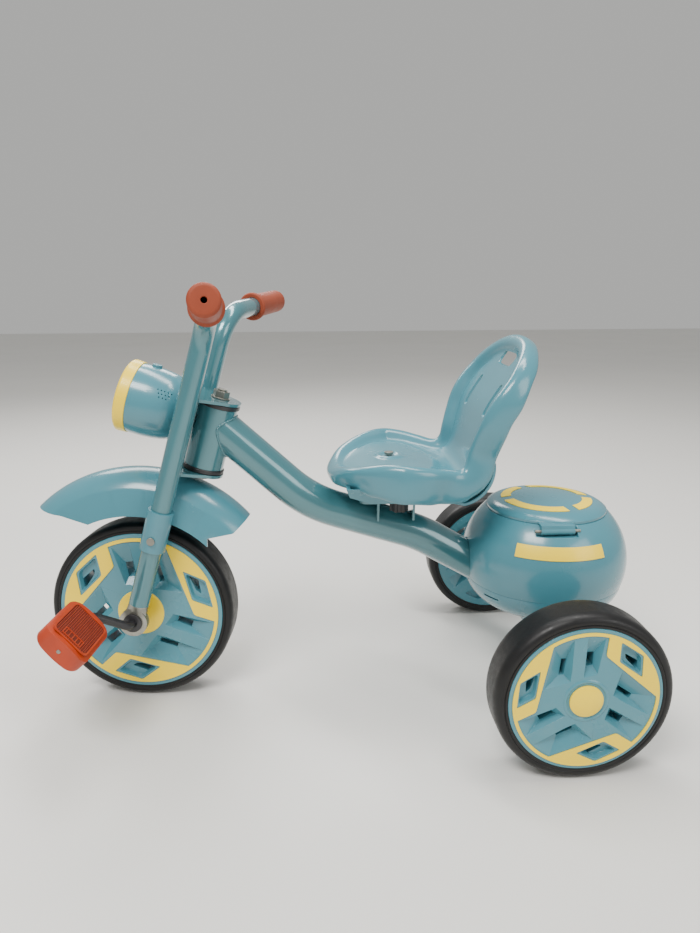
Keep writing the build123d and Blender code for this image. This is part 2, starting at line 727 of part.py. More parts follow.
for name, side in (("left", 1), ("right", -1)):
    with BuildPart() as leg:
        with BuildLine() as leg_path:
            FilletPolyline(
                fork_point(0, side * LEG_Y, leg_low),
                fork_point(0, side * LEG_Y, bar_corner),
                fork_point(tube_end.X, side * tube_end.Y, tube_end.Z),
                radius=bar_bend,
            )
        with BuildSketch(FORK.offset(leg_low)):
            with Locations((0, side * LEG_Y)):
                Circle(TUBE_R)
                Circle(TUBE_R - WALL, mode=Mode.SUBTRACT)
        sweep(path=leg_path.line)
        with BuildSketch(Plane(origin=fork_point(0, side * (LEG_Y + 20), collar_bolt_z), z_dir=(0, -side, 0))):
            Circle(bolt_hole + 0.05)
        extrude(amount=40, mode=Mode.SUBTRACT)
    write_steered(leg, f"fork_tube_{name}")

    # Grip: flanged sleeve with a rounded end and a vent hole
    grip_out = Vector(
        lean_ahead.X * grip_dir.X + lean_up.X * grip_dir.Z,
        side * grip_dir.Y,
        lean_ahead.Z * grip_dir.X + lean_up.Z * grip_dir.Z,
    )
    grip_end = fork_point(grip_tip.X, side * grip_tip.Y, grip_tip.Z)
    grip_plane = Plane(origin=grip_end, x_dir=grip_out, z_dir=grip_out.cross(Vector(0, 0, 1)))
    with BuildPart() as grip:
        with BuildSketch(grip_plane):
            with BuildLine():
                Polyline((0, 3), (0, 12))
                ThreePointArc((0, 12), (-1.2, 14.8), (-4, 16))
                Polyline((-4, 16), (-88, 16.3), (-92, 19.2), (-96, 19.4), (-98, 17.5))
                Polyline((-98, 17.5), (-98, TUBE_R + 0.02), (-3.5, TUBE_R + 0.02), (-3.5, 3), (0, 3))
            make_face()
        revolve(axis=Axis(grip_end, grip_out))
    write_steered(grip, f"grip_{name}")

# Dropouts: a plug in each leg's end that flattens to a ring round the crank
ring_y = 54.0
with BuildPart() as dropouts:
    for side in (1, -1):
        with BuildSketch(Plane(origin=fork_point(0, side * (ring_y - 5), 0), z_dir=(0, side, 0))):
            Circle(18)
        extrude(amount=10)
        with BuildSketch(FORK.offset(8)):
            with Locations((0, side * (ring_y - 1))):
                Rectangle(26, 9)
        with BuildSketch(FORK.offset(leg_low)):
            with Locations((0, side * LEG_Y)):
                Circle(TUBE_R - 0.3)
        loft()
        with BuildSketch(FORK.offset(leg_low)):
            with Locations((0, side * LEG_Y)):
                Circle(TUBE_R - WALL - 0.1)
        extrude(amount=22)
        with BuildSketch(Plane(origin=fork_point(0, side * (ring_y - 20), 0), z_dir=(0, side, 0))):
            Circle(9.6)
        extrude(amount=40, mode=Mode.SUBTRACT)
write_steered(dropouts, "dropouts")

# Plastic bushes the crank turns in
with BuildPart() as crank_bushes:
    for side in (1, -1):
        with BuildSketch(Plane(origin=fork_point(0, side * (ring_y - 5.6), 0), z_dir=(0, side, 0))):
            Circle(9.5)
            Circle(CRANK_R + FIT, mode=Mode.SUBTRACT)
        extrude(amount=10.7)
        with BuildSketch(Plane(origin=fork_point(0, side * (ring_y + 5.1), 0), z_dir=(0, side, 0))):
            Circle(12)
            Circle(CRANK_R + FIT, mode=Mode.SUBTRACT)
        extrude(amount=2.2)
write_steered(crank_bushes, "crank_bushes")

# Crown plates that join the two legs to the steering bolt
for name, height in (("lower", crown_low), ("upper", crown_high)):
    with BuildPart() as crown:
        with BuildSketch(FORK.offset(height)):
            with BuildLine():
                Polyline(
                    (10, -LEG_Y),
                    (10, -LEG_Y + 10),
                    (3, -27),
                    (3, 27),
                    (10, LEG_Y - 10),
                    (10, LEG_Y),
                    (-9, LEG_Y),
                    (-38, 25),
                    (-38, -25),
                    (-9, -LEG_Y),
                    close=True,
                )
            make_face()
            with Locations((-AXLE_LEAD, 0)):
                Circle(27)
        extrude(amount=4)
        with BuildSketch(FORK.offset(height - 1)):
            with Locations((0, LEG_Y), (0, -LEG_Y)):
                Circle(TUBE_R + 0.05)
            with Locations((-AXLE_LEAD, 0)):
                Circle(bolt_r + 0.05)
        extrude(amount=6, mode=Mode.SUBTRACT)
        crown_plate = crown.solids().sort_by(SortBy.VOLUME)[-1]
    crown.part = Part(crown_plate.wrapped)
    write_steered(crown, f"{name}_crown")

with BuildPart() as steering_bolt:
    with BuildSketch(FORK.offset(crown_low - 7.1)):
        with Locations((-AXLE_LEAD, 0)):
            RegularPolygon(10, 6, major_radius=True)
    extrude(amount=7)
    with BuildSketch(FORK.offset(crown_low - 2)):
        with Locations((-AXLE_LEAD, 0)):
            Circle(bolt_r)
    extrude(amount=crown_high - crown_low + 18)
write_steered(steering_bolt, "steering_bolt")

with BuildPart() as steering_nut:
    with BuildSketch(FORK.offset(crown_high + 4.1)):
        with Locations((-AXLE_LEAD, 0)):
            Circle(12)
            Circle(bolt_r + 0.05, mode=Mode.SUBTRACT)
    extrude(amount=1.6)
    with BuildSketch(FORK.offset(crown_high + 5.7)):
        with Locations((-AXLE_LEAD, 0)):
            RegularPolygon(10.4, 6, major_radius=True)
            Circle(bolt_r + 0.05, mode=Mode.SUBTRACT)
    extrude(amount=8)
write_steered(steering_nut, "steering_nut")

# ---------------------------------------------------------------- fender
fender_start = 44.0           # degrees above the forward horizontal
fender_sweep = 97.0
fender_crown_r = 190.0
fender_crease_r = 168.0
fender_skirt_r = 135.0
start_turn = radians(fender_start)
fender_section = Plane(origin=front_centre, x_dir=(0, 1, 0), z_dir=(sin(start_turn), 0, -cos(start_turn)))

with BuildPart() as fender:
    with BuildSketch(fender_section):
        with BuildLine():
            Line((-41, fender_skirt_r), (-36.5, fender_crease_r))
            ThreePointArc((-36.5, fender_crease_r), (0, fender_crown_r), (36.5, fender_crease_r))
            Polyline((36.5, fender_crease_r), (41, fender_skirt_r), (38.4, fender_skirt_r), (33.8, fender_crease_r))
            ThreePointArc(
                (33.8, fender_crease_r), (0, fender_crown_r - SHELL), (-33.8, fender_crease_r)
            )
            Polyline((-33.8, fender_crease_r), (-38.4, fender_skirt_r), (-41, fender_skirt_r))
        make_face()
    revolve(axis=Axis(front_centre, (0, -1, 0)), revolution_arc=fender_sweep)
    # Collars round the fork legs
    with BuildSketch(FORK.offset(collar_low)):
        with Locations((0, LEG_Y), (0, -LEG_Y)):
            Circle(16)
    extrude(amount=collar_high - collar_low)
    with BuildSketch(FORK.offset(collar_low - 30)):
        with Locations((0, LEG_Y), (0, -LEG_Y)):
            Circle(TUBE_R + 0.05)
    extrude(amount=150, mode=Mode.SUBTRACT)
    # Sloping cuts at the front and the rear tip
    with BuildSketch(side_plane(0)):
        with BuildLine():
            Polyline(
                (FRONT_AXLE_X + 53.6, FRONT_AXLE_Z),
                (FRONT_AXLE_X + 53.6, FRONT_AXLE_Z + 123.5),
                (FRONT_AXLE_X + 90, FRONT_AXLE_Z + 134),
                (FRONT_AXLE_X + 150, FRONT_AXLE_Z + 142),
                (FRONT_AXLE_X + 220, FRONT_AXLE_Z),
                close=True,
            )
        make_face()
        with BuildLine():
            Polyline(
                (FRONT_AXLE_X - 95.4, FRONT_AXLE_Z),
                (FRONT_AXLE_X - 95.4, FRONT_AXLE_Z + 106),
                (FRONT_AXLE_X - 128, FRONT_AXLE_Z + 112),
                (FRONT_AXLE_X - 170, FRONT_AXLE_Z + 150),
                (FRONT_AXLE_X - 220, FRONT_AXLE_Z),
                close=True,
            )
        make_face()
    extrude(amount=60, both=True, mode=Mode.SUBTRACT)
    with BuildSketch(Plane(origin=fork_point(0, 0, collar_bolt_z), z_dir=(0, -1, 0))):
        Circle(bolt_hole + 0.05)
    extrude(amount=80, both=True, mode=Mode.SUBTRACT)
    fender_body = fender.solids().sort_by(SortBy.VOLUME)[-1]
fender.part = Part(fender_body.wrapped)
write_steered(fender, "fender")

with BuildPart() as fender_bolts:
    for side in (-1, 1):
        with BuildSketch(Plane(origin=fork_point(0, side * (LEG_Y + 16.1), collar_bolt_z), z_dir=(0, side, 0))):
            Circle(5)
        extrude(amount=2.6)
        with BuildSketch(Plane(origin=fork_point(0, side * (LEG_Y + 16.2), collar_bolt_z), z_dir=(0, -side, 0))):
            Circle(bolt_hole - 0.05)
        extrude(amount=33)
write_steered(fender_bolts, "fender_bolts")

# ---------------------------------------------------------------- headlamp
lamp_height = 269.0
lamp_back = 5.0
lamp_mouth = 73.0
lamp_front = 88.0
bezel_r = 46.0
lamp_side = Plane(origin=fork_point(0, 0, lamp_height), x_dir=lean_ahead, z_dir=(0, -1, 0))
LAMP_AXIS = Axis(fork_point(0, 0, lamp_height), lean_ahead)
button_ahead = 57.0
button_r = 6.2

with BuildPart() as lamp_body:
    with BuildSketch(lamp_side):
        with BuildLine():
            Polyline((lamp_back, 0), (lamp_back, 18))
            ThreePointArc((lamp_back, 18), (15.5, 34.5), (34, 42.6))
            ThreePointArc((34, 42.6), (54, 44.8), (lamp_mouth, 44.4))
            Line((lamp_mouth, 44.4), (lamp_mouth, 42))
            ThreePointArc((lamp_mouth, 42), (54, 42.4), (34.6, 40.2))
            ThreePointArc((34.6, 40.2), (18, 33), (lamp_back + 2.4, 17))
            Polyline((lamp_back + 2.4, 17), (lamp_back + 2.4, 0), (lamp_back, 0))
        make_face()
    revolve(axis=LAMP_AXIS)
    with BuildSketch(FORK.offset(lamp_height + 30)):
        with Locations((button_ahead, 0)):
            Circle(button_r + 0.3)
    extrude(amount=20, mode=Mode.SUBTRACT)
    # Speaker holes low on both flanks' upper rear
    for side in (-1, 1):
        for row, count in ((0, 5), (1, 4), (2, 3)):
            for column in range(count):
                hole_centre = fork_point(24 + 4.2 * column + 2.1 * row, 0, lamp_height)
                around = radians(55 + 6 * row)
                hole_out = fork_point(0, side * sin(around), cos(around)) - FORK.origin
                with BuildSketch(Plane(origin=hole_centre, x_dir=lean_ahead, z_dir=hole_out)):
                    Circle(0.8)
                extrude(amount=60, mode=Mode.SUBTRACT)
write_steered(lamp_body, "lamp_body")

with BuildPart() as lamp_bezel:
    with BuildSketch(lamp_side):
        with BuildLine():
            Polyline((lamp_mouth + 0.05, 39.6), (lamp_mouth + 0.05, bezel_r - 0.6))
            Polyline((lamp_mouth + 0.05, bezel_r - 0.6), (lamp_front - 4, bezel_r))
            ThreePointArc((lamp_front - 4, bezel_r), (lamp_front - 1, bezel_r - 1.4), (lamp_front, bezel_r - 4))
            Polyline((lamp_front, bezel_r - 4), (lamp_front, 41), (lamp_front - 3, 39.6), (lamp_mouth + 0.05, 39.6))
        make_face()
    revolve(axis=LAMP_AXIS)
write_steered(lamp_bezel, "lamp_bezel")

with BuildPart() as lamp_lens:
    with BuildSketch(lamp_side):
        with BuildLine():
            Polyline((81, 0), (79, 30), (77, 39.5), (79.5, 39.5), (81.5, 30), (83.5, 0), close=True)
        make_face()
    revolve(axis=LAMP_AXIS)
write_steered(lamp_lens, "lamp_lens")

with BuildPart() as lamp_reflector:
    with BuildSketch(lamp_side):
        with BuildLine():
            Polyline((56, 5), (58, 16), (66, 31), (76.8, 39.2))
            Polyline((76.8, 39.2), (75, 39.2), (65, 32.2), (56.6, 17), (54.6, 5), (56, 5))
        make_face()
    revolve(axis=LAMP_AXIS)
write_steered(lamp_reflector, "lamp_reflector")

with BuildPart() as lamp_led:
    with BuildSketch(lamp_side):
        with BuildLine():
            Polyline((52.8, 0), (52.8, 4.4), (60, 4.4))
            CenterArc((60, 0), 4.4, 0, 90)
            Line((64.4, 0), (52.8, 0))
        make_face()
    revolve(axis=LAMP_AXIS)
write_steered(lamp_led, "lamp_led")

with BuildPart() as lamp_circuit_board:
    with BuildSketch(Plane(origin=fork_point(51, 0, lamp_height), z_dir=lean_ahead)):
        Circle(34)
    extrude(amount=1.6)
write_steered(lamp_circuit_board, "lamp_circuit_board")

with BuildPart() as lamp_speaker:
    with BuildSketch(Plane(origin=fork_point(18, 0, lamp_height), z_dir=lean_ahead)):
        Circle(14)
    extrude(amount=6)
    with BuildSketch(Plane(origin=fork_point(24, 0, lamp_height), z_dir=lean_ahead)):
        Circle(20)
    extrude(amount=5)
write_steered(lamp_speaker, "lamp_speaker")

with BuildPart() as lamp_bracket:
    with BuildSketch(Plane(origin=fork_point(1, 0, lamp_height), x_dir=(0, 1, 0), z_dir=lean_ahead)):
        Rectangle(90, 34)
        with Locations((11, 0), (-11, 0)):
            Circle(2.1, mode=Mode.SUBTRACT)
    extrude(amount=3)
    with BuildSketch(FORK.offset(lamp_height - 30)):
        with Locations((0, LEG_Y), (0, -LEG_Y)):
            Circle(TUBE_R + 0.02)
    extrude(amount=60, mode=Mode.SUBTRACT)
write_steered(lamp_bracket, "lamp_bracket")

with BuildPart() as lamp_screws:
    for side in (-1, 1):
        with BuildSketch(Plane(origin=fork_point(0.9, side * 11, lamp_height), z_dir=-lean_ahead)):
            Circle(3.6)
        extrude(amount=1.6)
        with BuildSketch(Plane(origin=fork_point(0.8, side * 11, lamp_height), z_dir=lean_ahead)):
            Circle(2.0)
        extrude(amount=4.1)
write_steered(lamp_screws, "lamp_screws")

button_travel = 1.5
with BuildPart() as lamp_button:
    with BuildSketch(FORK.offset(lamp_height + 39)):
        with Locations((button_ahead, 0)):
            Circle(button_r)
    extrude(amount=9)
    fillet(lamp_button.edges().sort_by(Axis(STEER_AXIS.position, lean_up))[-1], 1.2)
    with BuildSketch(FORK.offset(lamp_height + 38)):
        with Locations((button_ahead, 0)):
            Circle(button_r + 1.6)
    extrude(amount=1.6)
write_steered(lamp_button, "lamp_button")

# ================================================================= seat
SEAT_X = REAR_AXLE_X
seat_side = Plane(origin=(SEAT_X, 0, 0), x_dir=(1, 0, 0), z_dir=(0, -1, 0))
pan_centre_x = SEAT_X + 185
pan_front = 86.0
pan_half = 117.0
rim_width = 15.0
waist_half = 92.0
back_half = 106.0
back_top = 474.0
back_widest = 402.0
skirt_wall = 4.0


def seat_outline(inset):
    """Plan outline of the pan and front outline of the back, as one solid, inset all round."""
    with BuildPart() as outline:
        with BuildSketch(Plane.XY.offset(262)):
            with BuildLine():
                ThreePointArc(
                    (pan_centre_x, -pan_half + inset),
                    (pan_centre_x + pan_front - inset, 0),
                    (pan_centre_x, pan_half - inset),
                )
                Spline(
                    (pan_centre_x, pan_half - inset),
                    (SEAT_X + 150, pan_half - inset - 5),
                    (SEAT_X + 112, waist_half + 4 - inset),
                    (SEAT_X + 50, waist_half - inset),
                )
                Line((SEAT_X + 50, waist_half - inset), (SEAT_X + 50, -waist_half + inset))
                Spline(
                    (SEAT_X + 50, -waist_half + inset),
                    (SEAT_X + 112, -waist_half - 4 + inset),
                    (SEAT_X + 150, -pan_half + inset + 5),
                    (pan_centre_x, -pan_half + inset),
                )
            make_face()
        extrude(amount=345 - 262)
        with BuildSketch(Plane(origin=(SEAT_X, 0, 0), x_dir=(0, 1, 0), z_dir=(1, 0, 0))):
            with BuildLine():
                Line((-waist_half + inset, 300), (waist_half - inset, 300))
                Spline(
                    (waist_half - inset, 300),
                    (waist_half - inset, 335),
                    (back_half - inset - 3, 375),
                    (back_half - inset, back_widest),
                )
                ThreePointArc(
                    (back_half - inset, back_widest),
                    ((back_half - inset) * 0.72, back_widest + (back_top - back_widest - inset) * 0.72),
                    (0, back_top - inset),
                )
                ThreePointArc(
                    (0, back_top - inset),
                    (-(back_half - inset) * 0.72, back_widest + (back_top - back_widest - inset) * 0.72),
                    (-back_half + inset, back_widest),
                )
                Spline(
                    (-back_half + inset, back_widest),
                    (-back_half + inset + 3, 375),
                    (-waist_half + inset, 335),
                    (-waist_half + inset, 300),
                )
            make_face()
        extrude(amount=112)
    return outline.part


def seat_prism(points, inset):
    """A side outline carried across the seat, kept inside the inset outline."""
    with BuildPart() as prism:
        with BuildSketch(seat_side):
            with BuildLine():
                Polyline(*points, close=True)
            make_face()
        extrude(amount=140, both=True)
        add(seat_outline(inset), mode=Mode.INTERSECT)
    return prism.part


pan_surface = ((262, 303), (245, 314), (215, 321), (185, 322.5), (150, 317), (122, 308))
back_surface = ((103, 306), (93, 318), (89, 340), (85, 362), (76, 388), (60, 414), (38, 444), (20, 470))
recess = pan_surface + back_surface + ((20, 500), (300, 500), (300, 300))
pan_underside = ((254, 302), (243, 309.5), (215, 316.5), (185, 318), (150, 312.5), (122, 303.5))
back_rear = ((99, 301), (88, 314), (84, 339), (80, 361), (71, 386), (55.5, 411), (34, 441), (15, 467))
underside = pan_underside + back_rear + ((0, 467), (0, 255), (254, 255))

with BuildPart() as seat_shell:
    with BuildSketch(seat_side):
        with BuildLine():
            ThreePointArc((270, 306), (228, 328.5), (178, 332.5))
            ThreePointArc((178, 332.5), (142, 325), (112, 314))
            ThreePointArc((112, 314), (104.5, 319), (100.5, 330))
            ThreePointArc((100.5, 330), (93, 370), (72, 412))
            ThreePointArc((72, 412), (53, 442), (34, 470))
            ThreePointArc((34, 470), (26, 474), (18, 467))
            ThreePointArc((18, 467), (36, 436), (56, 402))
            ThreePointArc((56, 402), (70, 368), (77, 330))
            ThreePointArc((77, 330), (84.5, 299), (108, 282))
            ThreePointArc((108, 282), (150, 292), (200, 300))
            Polyline((200, 300), (262, 300), (270, 306))
        make_face()
    extrude(amount=140, both=True)
    add(seat_outline(0), mode=Mode.INTERSECT)
    add(seat_prism(recess, rim_width), mode=Mode.SUBTRACT)
    add(seat_prism(underside, skirt_wall), mode=Mode.SUBTRACT)
    # Hand hole at the top of the back and two belt slots
    with BuildSketch(Plane(origin=(SEAT_X, 0, 0), x_dir=(0, 1, 0), z_dir=(1, 0, 0))):
        with Locations((0, 444)):
            SlotOverall(54, 15)
        with Locations((48, 398), (-48, 398)):
            SlotOverall(38, 8, rotation=90)
    extrude(amount=120, mode=Mode.SUBTRACT)
    with BuildSketch(Plane.XY.offset(300)):
        with Locations((knob_x + 8, 0)):
            Circle(3.2)
    extrude(amount=40, mode=Mode.SUBTRACT)
    seat_shell_body = seat_shell.solids().sort_by(SortBy.VOLUME)[-1]
seat_shell.part = Part(seat_shell_body.wrapped)
write(seat_shell, "seat_shell")

base_bottom = plate_top + GAP
with BuildPart() as seat_base:
    with BuildSketch(seat_side):
        with BuildLine():
            Polyline(
                (134, base_bottom), (226, base_bottom), (250, 288), (250, 300), (134, 300), close=True
            )
        make_face()
    extrude(amount=84, both=True)
    with BuildSketch(seat_side):
        with BuildLine():
            Polyline((138, base_bottom + 5), (224, base_bottom + 5), (245, 291), (245, 310), (138, 310), close=True)
        make_face()
    extrude(amount=80, both=True, mode=Mode.SUBTRACT)
    # Post under the pan for the seat screw, and sockets for the knob studs
    with BuildSketch(Plane.XY.offset(base_bottom)):
        with Locations((knob_x + 8, 0)):
            Circle(8)
    extrude(amount=24)
    with BuildSketch(Plane.XY.offset(base_bottom)):
        with Locations((knob_x, knob_y), (knob_x, -knob_y)):
            Circle(7)
    extrude(amount=16)
    with BuildSketch(Plane.XY.offset(base_bottom - 1)):
        with Locations((knob_x, knob_y), (knob_x, -knob_y)):
            Circle(3.1)
        with Locations((knob_x + 8, 0)):
            Circle(3.1)
    extrude(amount=60, mode=Mode.SUBTRACT)
write(seat_base, "seat_base")

# The pan's screw, and the studs that the knobs turn on
with BuildPart() as seat_fasteners:
    with BuildSketch(Plane.XY.offset(base_bottom + 2)):
        with Locations((knob_x + 8, 0)):
            Circle(3)
    extrude(amount=322.7 - base_bottom - 2)
    with BuildSketch(Plane.XY.offset(322.6)):
        with Locations((knob_x + 8, 0)):
            Circle(6)
    extrude(amount=3)
    for side in (-1, 1):
        with BuildSketch(Plane.XY.offset(262)):
            with Locations((knob_x, side * knob_y)):
                Circle(3)
        extrude(amount=30)
write(seat_fasteners, "seat_fasteners")

with BuildPart() as seat_corner_brace:
    with BuildSketch(seat_side):
        with BuildLine():
            ThreePointArc((76.4, 331), (83.8, 298.6), (108, 281.6))
            Polyline((108, 281.6), (131, 286.5), (131, 283), (108, 277.6))
            ThreePointArc((108, 277.6), (80.3, 295.5), (72.6, 331))
            Line((72.6, 331), (76.4, 331))
        make_face()
    extrude(amount=88, both=True)
write(seat_corner_brace, "seat_corner_brace")

for name, side in (("left", 1), ("right", -1)):
    with BuildPart() as knob:
        with BuildSketch(Plane.XY.offset(260.5)):
            with Locations((knob_x, side * knob_y)):
                Circle(9.6)
                with PolarLocations(9.2, 6):
                    Circle(2.6)
                Circle(3 + FIT, mode=Mode.SUBTRACT)
        extrude(amount=plate_top - plate_thick - 0.4 - 260.5)
    write(knob, f"seat_knob_{name}")
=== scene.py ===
import json
from bisect import bisect_left
from math import cos, hypot, pi, radians, sin, sqrt

import bmesh
import bpy
from bpy.props import FloatProperty, FloatVectorProperty, IntProperty, PointerProperty
from mathutils import Matrix, Vector
from mathutils.geometry import delaunay_2d_cdt

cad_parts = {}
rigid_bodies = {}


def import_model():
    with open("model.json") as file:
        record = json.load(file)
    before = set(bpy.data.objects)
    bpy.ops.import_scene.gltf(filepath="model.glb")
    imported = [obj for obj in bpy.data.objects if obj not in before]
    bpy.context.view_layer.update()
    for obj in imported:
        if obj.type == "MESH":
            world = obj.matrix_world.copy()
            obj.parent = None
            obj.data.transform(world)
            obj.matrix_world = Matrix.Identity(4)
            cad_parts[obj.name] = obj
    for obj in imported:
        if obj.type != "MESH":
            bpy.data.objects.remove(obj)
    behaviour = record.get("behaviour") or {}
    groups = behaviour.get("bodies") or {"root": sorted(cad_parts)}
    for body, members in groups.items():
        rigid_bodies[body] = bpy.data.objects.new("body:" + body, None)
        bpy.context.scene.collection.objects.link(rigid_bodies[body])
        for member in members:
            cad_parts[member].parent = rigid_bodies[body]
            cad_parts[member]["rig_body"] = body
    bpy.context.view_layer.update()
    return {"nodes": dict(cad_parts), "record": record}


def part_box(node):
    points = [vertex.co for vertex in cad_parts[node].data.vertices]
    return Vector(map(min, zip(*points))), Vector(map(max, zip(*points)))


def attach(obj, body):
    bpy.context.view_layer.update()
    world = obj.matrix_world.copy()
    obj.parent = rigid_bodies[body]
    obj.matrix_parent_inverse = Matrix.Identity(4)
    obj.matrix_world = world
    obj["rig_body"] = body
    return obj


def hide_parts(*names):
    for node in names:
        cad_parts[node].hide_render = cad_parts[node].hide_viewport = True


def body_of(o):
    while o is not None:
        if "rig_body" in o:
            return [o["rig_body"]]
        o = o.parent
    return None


bl_info = {
    "name": "Tricycle Maker",
    "version": (1, 0, 0),
    "blender": (4, 5, 0),
    "location": "3D View > Sidebar > Tricycle",
    "description": "Dresses a child's pedal tricycle around its fixed frame, with a stage to show it on",
    "category": "Object",
}

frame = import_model()

MM = 0.001
joints = {joint["name"]: joint for joint in frame["record"]["behaviour"]["joints"]}


# ------------------------------------------------------------------ reference frames


def wheel_frame(joint_name):
    """Matrix of a wheel at rest: x forward in its plane, y along its axle, z up in its plane."""
    axle = Vector(joints[joint_name]["axis"]).normalized()
    forward = axle.cross(Vector((0, 0, 1))).normalized()
    up = forward.cross(axle)
    basis = Matrix((forward, axle, up)).transposed()
    return Matrix.Translation(Vector(joints[joint_name]["pos_m"])) @ basis.to_4x4()


REAR_AXLE = Vector(joints["rear_left_wheel_spin"]["pos_m"])
WHEEL_JOINTS = {
    "front": "front_wheel_spin",
    "rear_left": "rear_left_wheel_spin",
    "rear_right": "rear_right_wheel_spin",
}


# ------------------------------------------------------------------ settings


def colour_setting(name, description, default):
    """A linear colour that a user may change."""
    return FloatVectorProperty(
        name=name, description=description, default=default, subtype="COLOR", size=3, min=0, max=1
    )


def length_setting(name, description, default):
    """A length in metres that a user may change."""
    return FloatProperty(name=name, description=description, default=default, unit="LENGTH", precision=4)


class TricycleColours(bpy.types.PropertyGroup):
    """Colours of the paints and plastics."""

    paint: colour_setting("Frame paint", "Gloss enamel on the steel tubes", (0.052, 0.185, 0.215))
    moulding: colour_setting("Blue moulding", "Seat, box, lamp and wheel plastic", (0.060, 0.222, 0.278))
    trim: colour_setting("Yellow trim", "Plastic of the rings, caps and bands", (1.0, 0.70, 0.012))
    pedal: colour_setting("Pedal orange", "Plastic of the pedals", (0.42, 0.036, 0.004))
    grip: colour_setting("Grip terracotta", "Soft grips on the handlebar", (0.28, 0.052, 0.022))
    rubber: colour_setting("Tyre black", "Foam rubber of the tyres", (0.0065, 0.0065, 0.007))
    floor: colour_setting("Floor", "Plain pale floor", (0.74, 0.73, 0.70))


class WheelSizes(bpy.types.PropertyGroup):
    """Sizes that the wheels' faces share."""

    facets: IntProperty(name="Facets", description="Facets round a wheel", default=144, min=48, max=240)
    pocket_depth: length_setting("Pocket depth", "Depth of the wedge pockets in a wheel's face", 0.009)
    window_depth: length_setting("Window depth", "Depth of the windows in the yellow patches", 0.006)
    trim_height: length_setting("Trim height", "How far the yellow trim stands off the face", 0.0012)


class SeatSizes(bpy.types.PropertyGroup):
    """Sizes of the moulded seat."""

    wall: length_setting("Wall", "Thickness of the seat's moulding", 0.003)
    rim_round: length_setting("Rim", "Width of the rolled rim", 0.026)
    around: IntProperty(name="Points round", description="Points round its edge", default=264, min=96)
    inner_rings: IntProperty(name="Inner rings", description="Rings inside the rim", default=56, min=8)


class StageSizes(bpy.types.PropertyGroup):
    """The floor, the lights and the camera."""

    floor_size: length_setting("Floor size", "Side of the square floor", 14.0)
    key_power: FloatProperty(name="Key light", description="Main light's power", default=58.0, unit="POWER")
    lens: FloatProperty(name="Lens", description="Focal length in millimetres", default=27.28)


class TricycleSettings(bpy.types.PropertyGroup):
    """Everything that a user of the tricycle maker may change."""

    colours: PointerProperty(type=TricycleColours)
    wheels: PointerProperty(type=WheelSizes)
    seat: PointerProperty(type=SeatSizes)
    stage: PointerProperty(type=StageSizes)


# ------------------------------------------------------------------ shader groups


def new_group(name, inputs, outputs):
    """Empty shader group with its sockets, given as (name, kind, default)."""
    group = bpy.data.node_groups.new(name, "ShaderNodeTree")
    for label, kind, default in inputs:
        socket = group.interface.new_socket(name=label, in_out="INPUT", socket_type=kind)
        if default is not None:
            socket.default_value = default
    for label, kind in outputs:
        group.interface.new_socket(name=label, in_out="OUTPUT", socket_type=kind)
    start = group.nodes.new("NodeGroupInput")
    end = group.nodes.new("NodeGroupOutput")
    start.location = (-700, 0)
    end.location = (500, 0)
    return group, start, end


def put(tree, kind, place, values=None, **settings):
    """Add a node at a place, with its settings and the values of its inputs."""
    made = tree.nodes.new(kind)
    made.location = place
    for key, value in settings.items():
        setattr(made, key, value)
    for key, value in (values or {}).items():
        made.inputs[key].default_value = value
    return made


def join(tree, source, output, target, socket):
    """Link an output to an input, both by name or number."""
    tree.links.new(source.outputs[output], target.inputs[socket])


def colour_drift_group():
    """A base colour that drifts a little towards a second one, in soft clouds."""
    group, start, end = new_group(
        "Colour drift",
        (
            ("Vector", "NodeSocketVector", None),
            ("Base", "NodeSocketColor", None),
            ("Drift", "NodeSocketColor", None),
            ("Scale", "NodeSocketFloat", 12.0),
            ("Amount", "NodeSocketFloat", 0.3),
        ),
        (("Color", "NodeSocketColor"),),
    )
    clouds = put(group, "ShaderNodeTexNoise", (-450, -80), {"Detail": 4.0, "Roughness": 0.55})
    spread = put(group, "ShaderNodeMapRange", (-250, -80), {"From Min": 0.35, "From Max": 0.68})
    share = put(group, "ShaderNodeMath", (-60, -80), operation="MULTIPLY")
    blend = put(group, "ShaderNodeMix", (200, 0), data_type="RGBA")
    join(group, start, "Vector", clouds, "Vector")
    join(group, start, "Scale", clouds, "Scale")
    join(group, clouds, "Fac", spread, "Value")
    join(group, spread, "Result", share, 0)
    join(group, start, "Amount", share, 1)
    join(group, share, "Value", blend, 0)
    join(group, start, "Base", blend, 6)
    join(group, start, "Drift", blend, 7)
    join(group, blend, 2, end, "Color")
    return group


